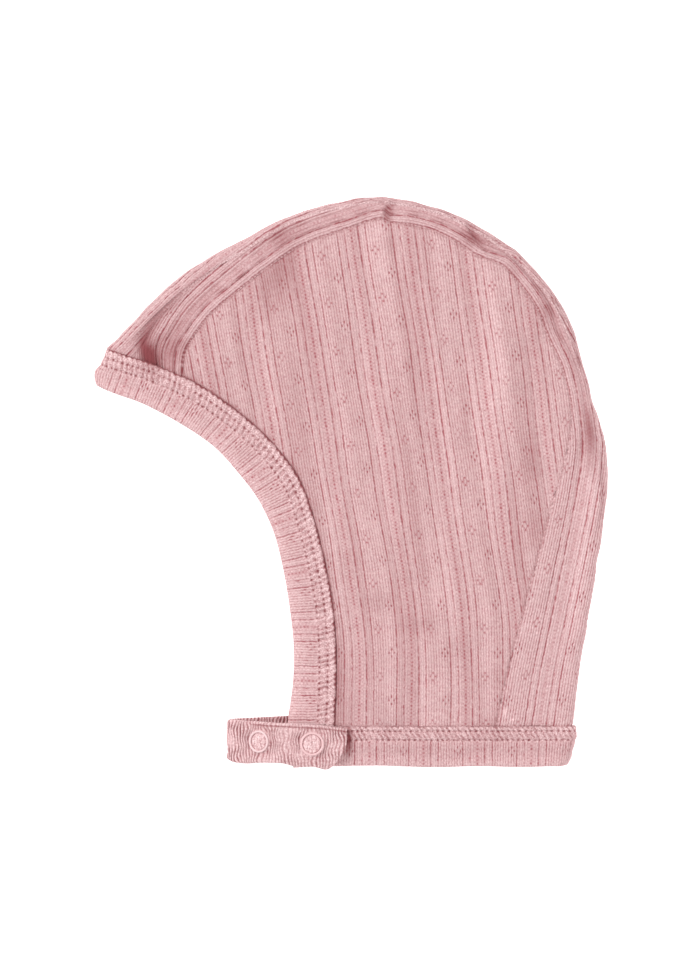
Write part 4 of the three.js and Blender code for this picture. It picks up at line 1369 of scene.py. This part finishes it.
face_band = add_band("face_binding_knit", FACE, phase=9 * COLUMN, scale=1.0, low=2.9, lean=0.5,
                     lip_shade=1.0, slant=-0.4 * SLANT, bulge=(10, 0.9),
                     spots=[(-79, 47, 6, 3.5, 0.4)])
place_piece(face_band, "face_binding")
neck_band = add_band("neck_binding_knit", NECK, phase=33 * COLUMN, scale=0.82, low=1.9, lean=-0.6,
                     lip_shade=0.4, slant=SLANT, bulge=(3.4, 0.9),
                     spots=[(-0.7, -102.4, 1.6, 6, 0.95), (57, -101, 5, 4, 0.12),
                            (35, -109, 70, 8, 0.1)])
place_piece(neck_band, "neck_binding")

# %% [markdown]
# ## The chin strap
# The strap is a band of the same knit, folded double, that leaves the far front corner, bends
# back, and lies over the near corner. Its wales run across it, pulled apart, and the cloth puckers
# where each snap has been pressed through it, so the wales bend round the snaps. A flat band bent
# by a modifier would need its puckers modelled first and would then stretch them. One closed
# outline carried along the bent path can take every rib and pucker where it lies.
# %% Strap path and snap seats
FREE_SNAP, FAST_SNAP = 7.2, 11  # places on the table's curve where the snaps sit
SNAP_Y = {FREE_SNAP: -103.2, FAST_SNAP: -104.0}
RING_SIZE = {FREE_SNAP: 0.94, FAST_SNAP: 1.0}
RING_OUT, RING_IN, RING_HEIGHT = 4.7, 3.85, 0.75  # radii and height of a ring
CAP_HEIGHT, GAP = 1.6, 0.3  # a cap's height, and the clear space between it and the strap
RING_SEAT = 0.15  # how much closer than a cap a ring sits
STRAP_COLUMN = 0.27  # distance between the strap's mesh columns
STRAP_RIB = 1.35  # the strap is stretched across its wales
BEND_X = -47.5  # x of the bend's outermost part, which catches the light


def strap_frame(place, reach=0.05):
    """Middle line, edges and outward direction of the strap at any places: outward is square to
    the step from a little behind to a little ahead."""
    row = rows_at(STRAP, place)
    ahead = rows_at(STRAP, np.minimum(place + reach, len(STRAP) - 1))
    step = ahead - rows_at(STRAP, np.maximum(place - reach, 0))
    length = np.hypot(step[..., 0], step[..., 1])
    outward = np.stack([-step[..., 1] / length, 0 * length, step[..., 0] / length], -1)
    return row, outward


strap_places = np.linspace(0, len(STRAP) - 1, 1601)
strap_way = way_along(rows_at(STRAP, strap_places)[:, :2])
print("strap is", round(float(strap_way[-1]), 1), "mm long")


# %% Strap
def strap_section(steps=36):
    """Rows round the strap's section: (share of the width from the low edge, 1 outside or -1)."""
    even = np.linspace(0, 1, steps)
    share = 0.35 * (1 - np.cos(np.pi * even)) / 2 + 0.65 * even
    outside = [(s, 1) for s in share]
    inside = [(s, -1) for s in share[::-1][1:-1]]
    return np.array(outside + inside)


def around_snaps(along, y):
    """For each snap: distance from its middle and the direction to it, in the strap's own plane."""
    for snap, snap_y in SNAP_Y.items():
        off = along - np.interp(snap, strap_places, strap_way)
        yield np.hypot(off, y - snap_y) / RING_SIZE[snap], np.arctan2(y - snap_y, off)


def pressed_by_snaps(along, y, side, rib, offset, shade):
    """Offset, shade and crispness of the strap once each snap is pressed through it: a dome of
    cloth inside the ring, flat cloth under it, and seven soft rucks round it."""
    crisp = np.full(y.shape, 0.85)
    for away, turn in around_snaps(along, y):
        under_ring = 1 - smooth(4.75, 5.4, away)
        dome = 0.68 - 0.3 * (away / RING_IN) ** 2 + 0.1 * (rib - 0.5)
        dome = dome * (1 - smooth(3.35, 3.7, away))
        offset = offset * (1 - under_ring) + under_ring * np.where(side > 0, dome, 0)
        ruck = bell(away - 5.8, 1.0)
        offset = offset - 0.34 * ruck * (1 + 0.6 * np.cos(7 * turn))
        crisp = crisp - 0.35 * under_ring
        # Painted shade in the rucks and in a thin ring just inside each snap's ring; the lower crisp
        # under a ring also paints the cloth there a little lighter.
        shade = shade * (1 - 0.75 * under_ring) + 0.22 * ruck * (0.6 + 0.4 * np.cos(7 * turn))
        shade = shade + 0.14 * bell(away - 3.75, 0.25) * (side > 0)
    return offset, shade, crisp


# %% The whole strap
def add_strap():
    """The strap: its section carried along the path, half its thickness to each side, rounded at
    both edges and at its two ends, and puckered round the snaps."""
    count = int(strap_way[-1] / STRAP_COLUMN)
    along = np.arange(count + 1) * strap_way[-1] / count
    place = np.interp(along, strap_way, strap_places)
    row, outward = strap_frame(place)
    section = strap_section()
    share, side = section[None, :, 0], section[None, :, 1]
    width = (row[:, 2] - row[:, 3])[:, None]
    y = row[:, 3:4] + share * width
    along, place = along[:, None] + 0 * share, place[:, None]
    from_edge = np.minimum(share, 1 - share) * width
    half = STRAP_BAND / 2
    end = np.minimum(along, strap_way[-1] - along)
    close = np.minimum(np.clip(from_edge / half, 0, 1), np.clip(end / half, 0, 1))
    round_off = np.sqrt(1 - (1 - close) ** 2)
    calm = np.prod([smooth(3, 6.5, away) for away, _ in around_snaps(along, y)], axis=0)
    bent = along + calm * (0.5 * ripple(along, y, 10, 23) + 0.32 * ripple(along, y, 5, 24))
    for away, turn in around_snaps(along, y):
        bent = bent - 1.1 * np.cos(turn) * bell(away - 5.2, 2.4)
    rib = 0.5 + 0.5 * np.cos(2 * np.pi * bent / STRAP_RIB)
    from_top = (1 - share) * width
    low_run = 1 - smooth(5, 6.5, place)
    in_sight = (side > 0) * smooth(6, 7, place)
    plain_top = 1 - (1 - smooth(1.3, 2.3, from_top)) * in_sight
    wavy = 1 + 0.6 * ripple(along, y, 8, 21) + 0.3 * ripple(along, y, 3.5, 25)
    wavy = wavy * (0.2 + 0.8 * plain_top)
    offset = 0.3 * ripple(along, y, 10, 22) * np.clip(from_edge / 2, 0, 1)
    offset = 0.42 * (rib - 0.6) * wavy + offset
    # Painted shade: in the gaps between ribs, more on the low run that lies under the near one, in the
    # lines along the top and at the end; at the bend it is lowered, a painted highlight where it
    # catches the light.
    shade = (0.42 + 0.4 * low_run) * (1 - rib) ** 2 * np.clip(wavy, 0.1, 1.7)
    top_line = bell(from_top - 1.4, 0.36) * in_sight
    end_line = bell(strap_way[-1] - along - 1.3, 0.4) * (side > 0)
    offset = offset - 0.35 * top_line - 0.3 * end_line
    shade = shade + 0.75 * top_line + 0.4 * end_line + 0.16 * low_run
    shade = shade - 0.32 * bell(row[:, :1] - BEND_X, 4) * (side > 0) * smooth(4, 5, place)
    offset, shade, crisp = pressed_by_snaps(along, y, side, rib, offset, shade)
    lift = (half + offset * np.clip(round_off * 1.4 - 0.4, 0, 1)) * side * round_off
    points = np.stack([row[:, 0:1] + 0 * y, y, row[:, 1:2] + 0 * y], -1)
    skin = points + outward[:, None] * lift[..., None]
    skin[..., 2] = np.maximum(skin[..., 2], 0)
    vertices, quads, fans = closed_tube(skin)
    uv = with_middles(np.stack([bent * (WALE / STRAP_RIB), y], -1))
    marks = with_middles(np.stack([shade, crisp], -1))
    return mesh_piece("chin_strap_knit", vertices, [quads, fans], uv, marks, strap_knit)


strap = add_strap()
place_piece(strap, "chin_strap")

# %% [markdown]
# ## The snaps
# A ring snap shows a thin lacquered ring on the outside of the strap, with the cloth showing
# through it, and a socket underneath. Both are turned parts, so each is a profile of radius and
# height spun round its own axis, then set square to the strap where it sits.
# %% Lacquer
def lacquer_material(name, colour):
    """Glossy lacquer: a clear coat over a pale pink, with the faint unevenness of a dipped part."""
    material, tree, shader = new_material(
        name, {"Roughness": 0.38, "Coat Weight": 0.15, "Coat Roughness": 0.2})
    place = new_node(tree, "ShaderNodeTexCoord").outputs["Object"]
    cloud = new_node(tree, "ShaderNodeTexNoise", Vector=place, Scale=420.0, Detail=2.0).outputs[0]
    shadow = tuple(0.86 * c for c in colour)
    tint = blend_colours(tree, Flow(tree, cloud) * 0.5, (*colour, 1), (*shadow, 1))
    tree.links.new(tint, shader.inputs["Base Color"])
    bump = new_node(tree, "ShaderNodeBump", Strength=0.12, Distance=0.0001, Height=cloud)
    tree.links.new(bump.outputs[0], shader.inputs["Normal"])
    return material


# Both rings are one lacquer: the free ring's copy is painted paler and the fastened ring's pinker,
# painted light and shade for the way each tilts to the lamps.
ring_lacquer = {
    FREE_SNAP: lacquer_material("snap_ring_lacquer_painted_lit", (0.84, 0.62, 0.63)),
    FAST_SNAP: lacquer_material("snap_ring_lacquer_painted_shaded", (0.86, 0.58, 0.59)),
}
cap_lacquer = lacquer_material("snap_cap_lacquer", (0.88, 0.66, 0.67))


# %% Turned parts
def spun(profile, turns=96):
    """Points [turn, profile, 3] of a closed profile of (radius, height) spun round the Z axis."""
    angle = np.linspace(0, 2 * np.pi, turns, endpoint=False)[:, None]
    radius, height = profile[None, :, 0], profile[None, :, 1]
    return np.stack([radius * np.cos(angle), radius * np.sin(angle), height + 0 * angle], -1)


def spun_piece(name, profile, snap, lift, material):
    """A turned part set on the strap at a snap, its base so far out from the middle of the strap."""
    points = spun(profile)
    turns, around = points.shape[:2]
    number = np.arange(turns * around).reshape(turns, around)
    next_turn, next_on = np.roll(number, -1, 0), np.roll(number, -1, 1)
    quads = np.stack([number, next_turn, np.roll(next_turn, -1, 1), next_on], -1).reshape(-1, 4)
    row, outward = strap_frame(np.array([float(snap)]))
    up = outward[0]
    ahead = np.array([up[2], 0, -up[0]])
    side = np.array([0.0, 1.0, 0.0])
    seat = np.array([row[0, 0], SNAP_Y[snap], row[0, 1]]) + up * lift
    flat = points.reshape(-1, 3)
    placed = seat + flat[:, :1] * ahead + flat[:, 1:2] * side + flat[:, 2:] * up
    return mesh_piece(name, placed, [quads], flat[:, :2], np.zeros((len(placed), 2)), material)


def ring_profile(size, steps=22):
    """A rounded ring between its hole and its outside: middle + half * c^0.8 across and half its
    height * (1 + s^0.8) up, for the cosine and sine of the way round, which flattens a circle."""
    angle = np.linspace(0, 2 * np.pi, steps, endpoint=False)
    across, up = (np.sign(x) * np.abs(x) ** 0.8 for x in (np.cos(angle), np.sin(angle)))
    middle, half = (RING_OUT + RING_IN) / 2 * size, (RING_OUT - RING_IN) / 2
    return np.stack([middle + half * across, RING_HEIGHT / 2 * (1 + up)], -1)


def cap_profile():
    """A socket: a flat plate with a rolled rim and a raised stud in the middle. Its pole is a tiny
    flat, closed by the plate's own thickness."""
    top = [(0.02, 0.15), (1.3, 0.15), (1.7, 0.35), (2.0, 0.75), (2.3, 0.95), (3.0, 1.0), (3.5, 1.0)]
    rim = [(3.8, 1.12), (4.05, 1.05), (4.2, 0.85), (4.2, 0.6), (4.05, 0.35), (3.7, 0.2)]
    base = [(3.0, 0.15), (2.0, 0.08), (1.0, 0.02), (0.02, 0.0)]
    profile = np.array(top + rim + base)
    return profile * (1, CAP_HEIGHT / profile[:, 1].max())


for snap, label in ((FREE_SNAP, "free"), (FAST_SNAP, "fastened")):
    above, under = STRAP_BAND / 2 + GAP - RING_SEAT, -(STRAP_BAND / 2 + GAP + CAP_HEIGHT)
    ring = spun_piece(f"snap_ring_{label}_lacquered", ring_profile(RING_SIZE[snap]), snap,
                      above, ring_lacquer[snap])
    place_piece(ring, f"snap_ring_{label}")
    cap = spun_piece(f"snap_cap_{label}_lacquered", cap_profile(), snap, under, cap_lacquer)
    place_piece(cap, f"snap_cap_{label}")
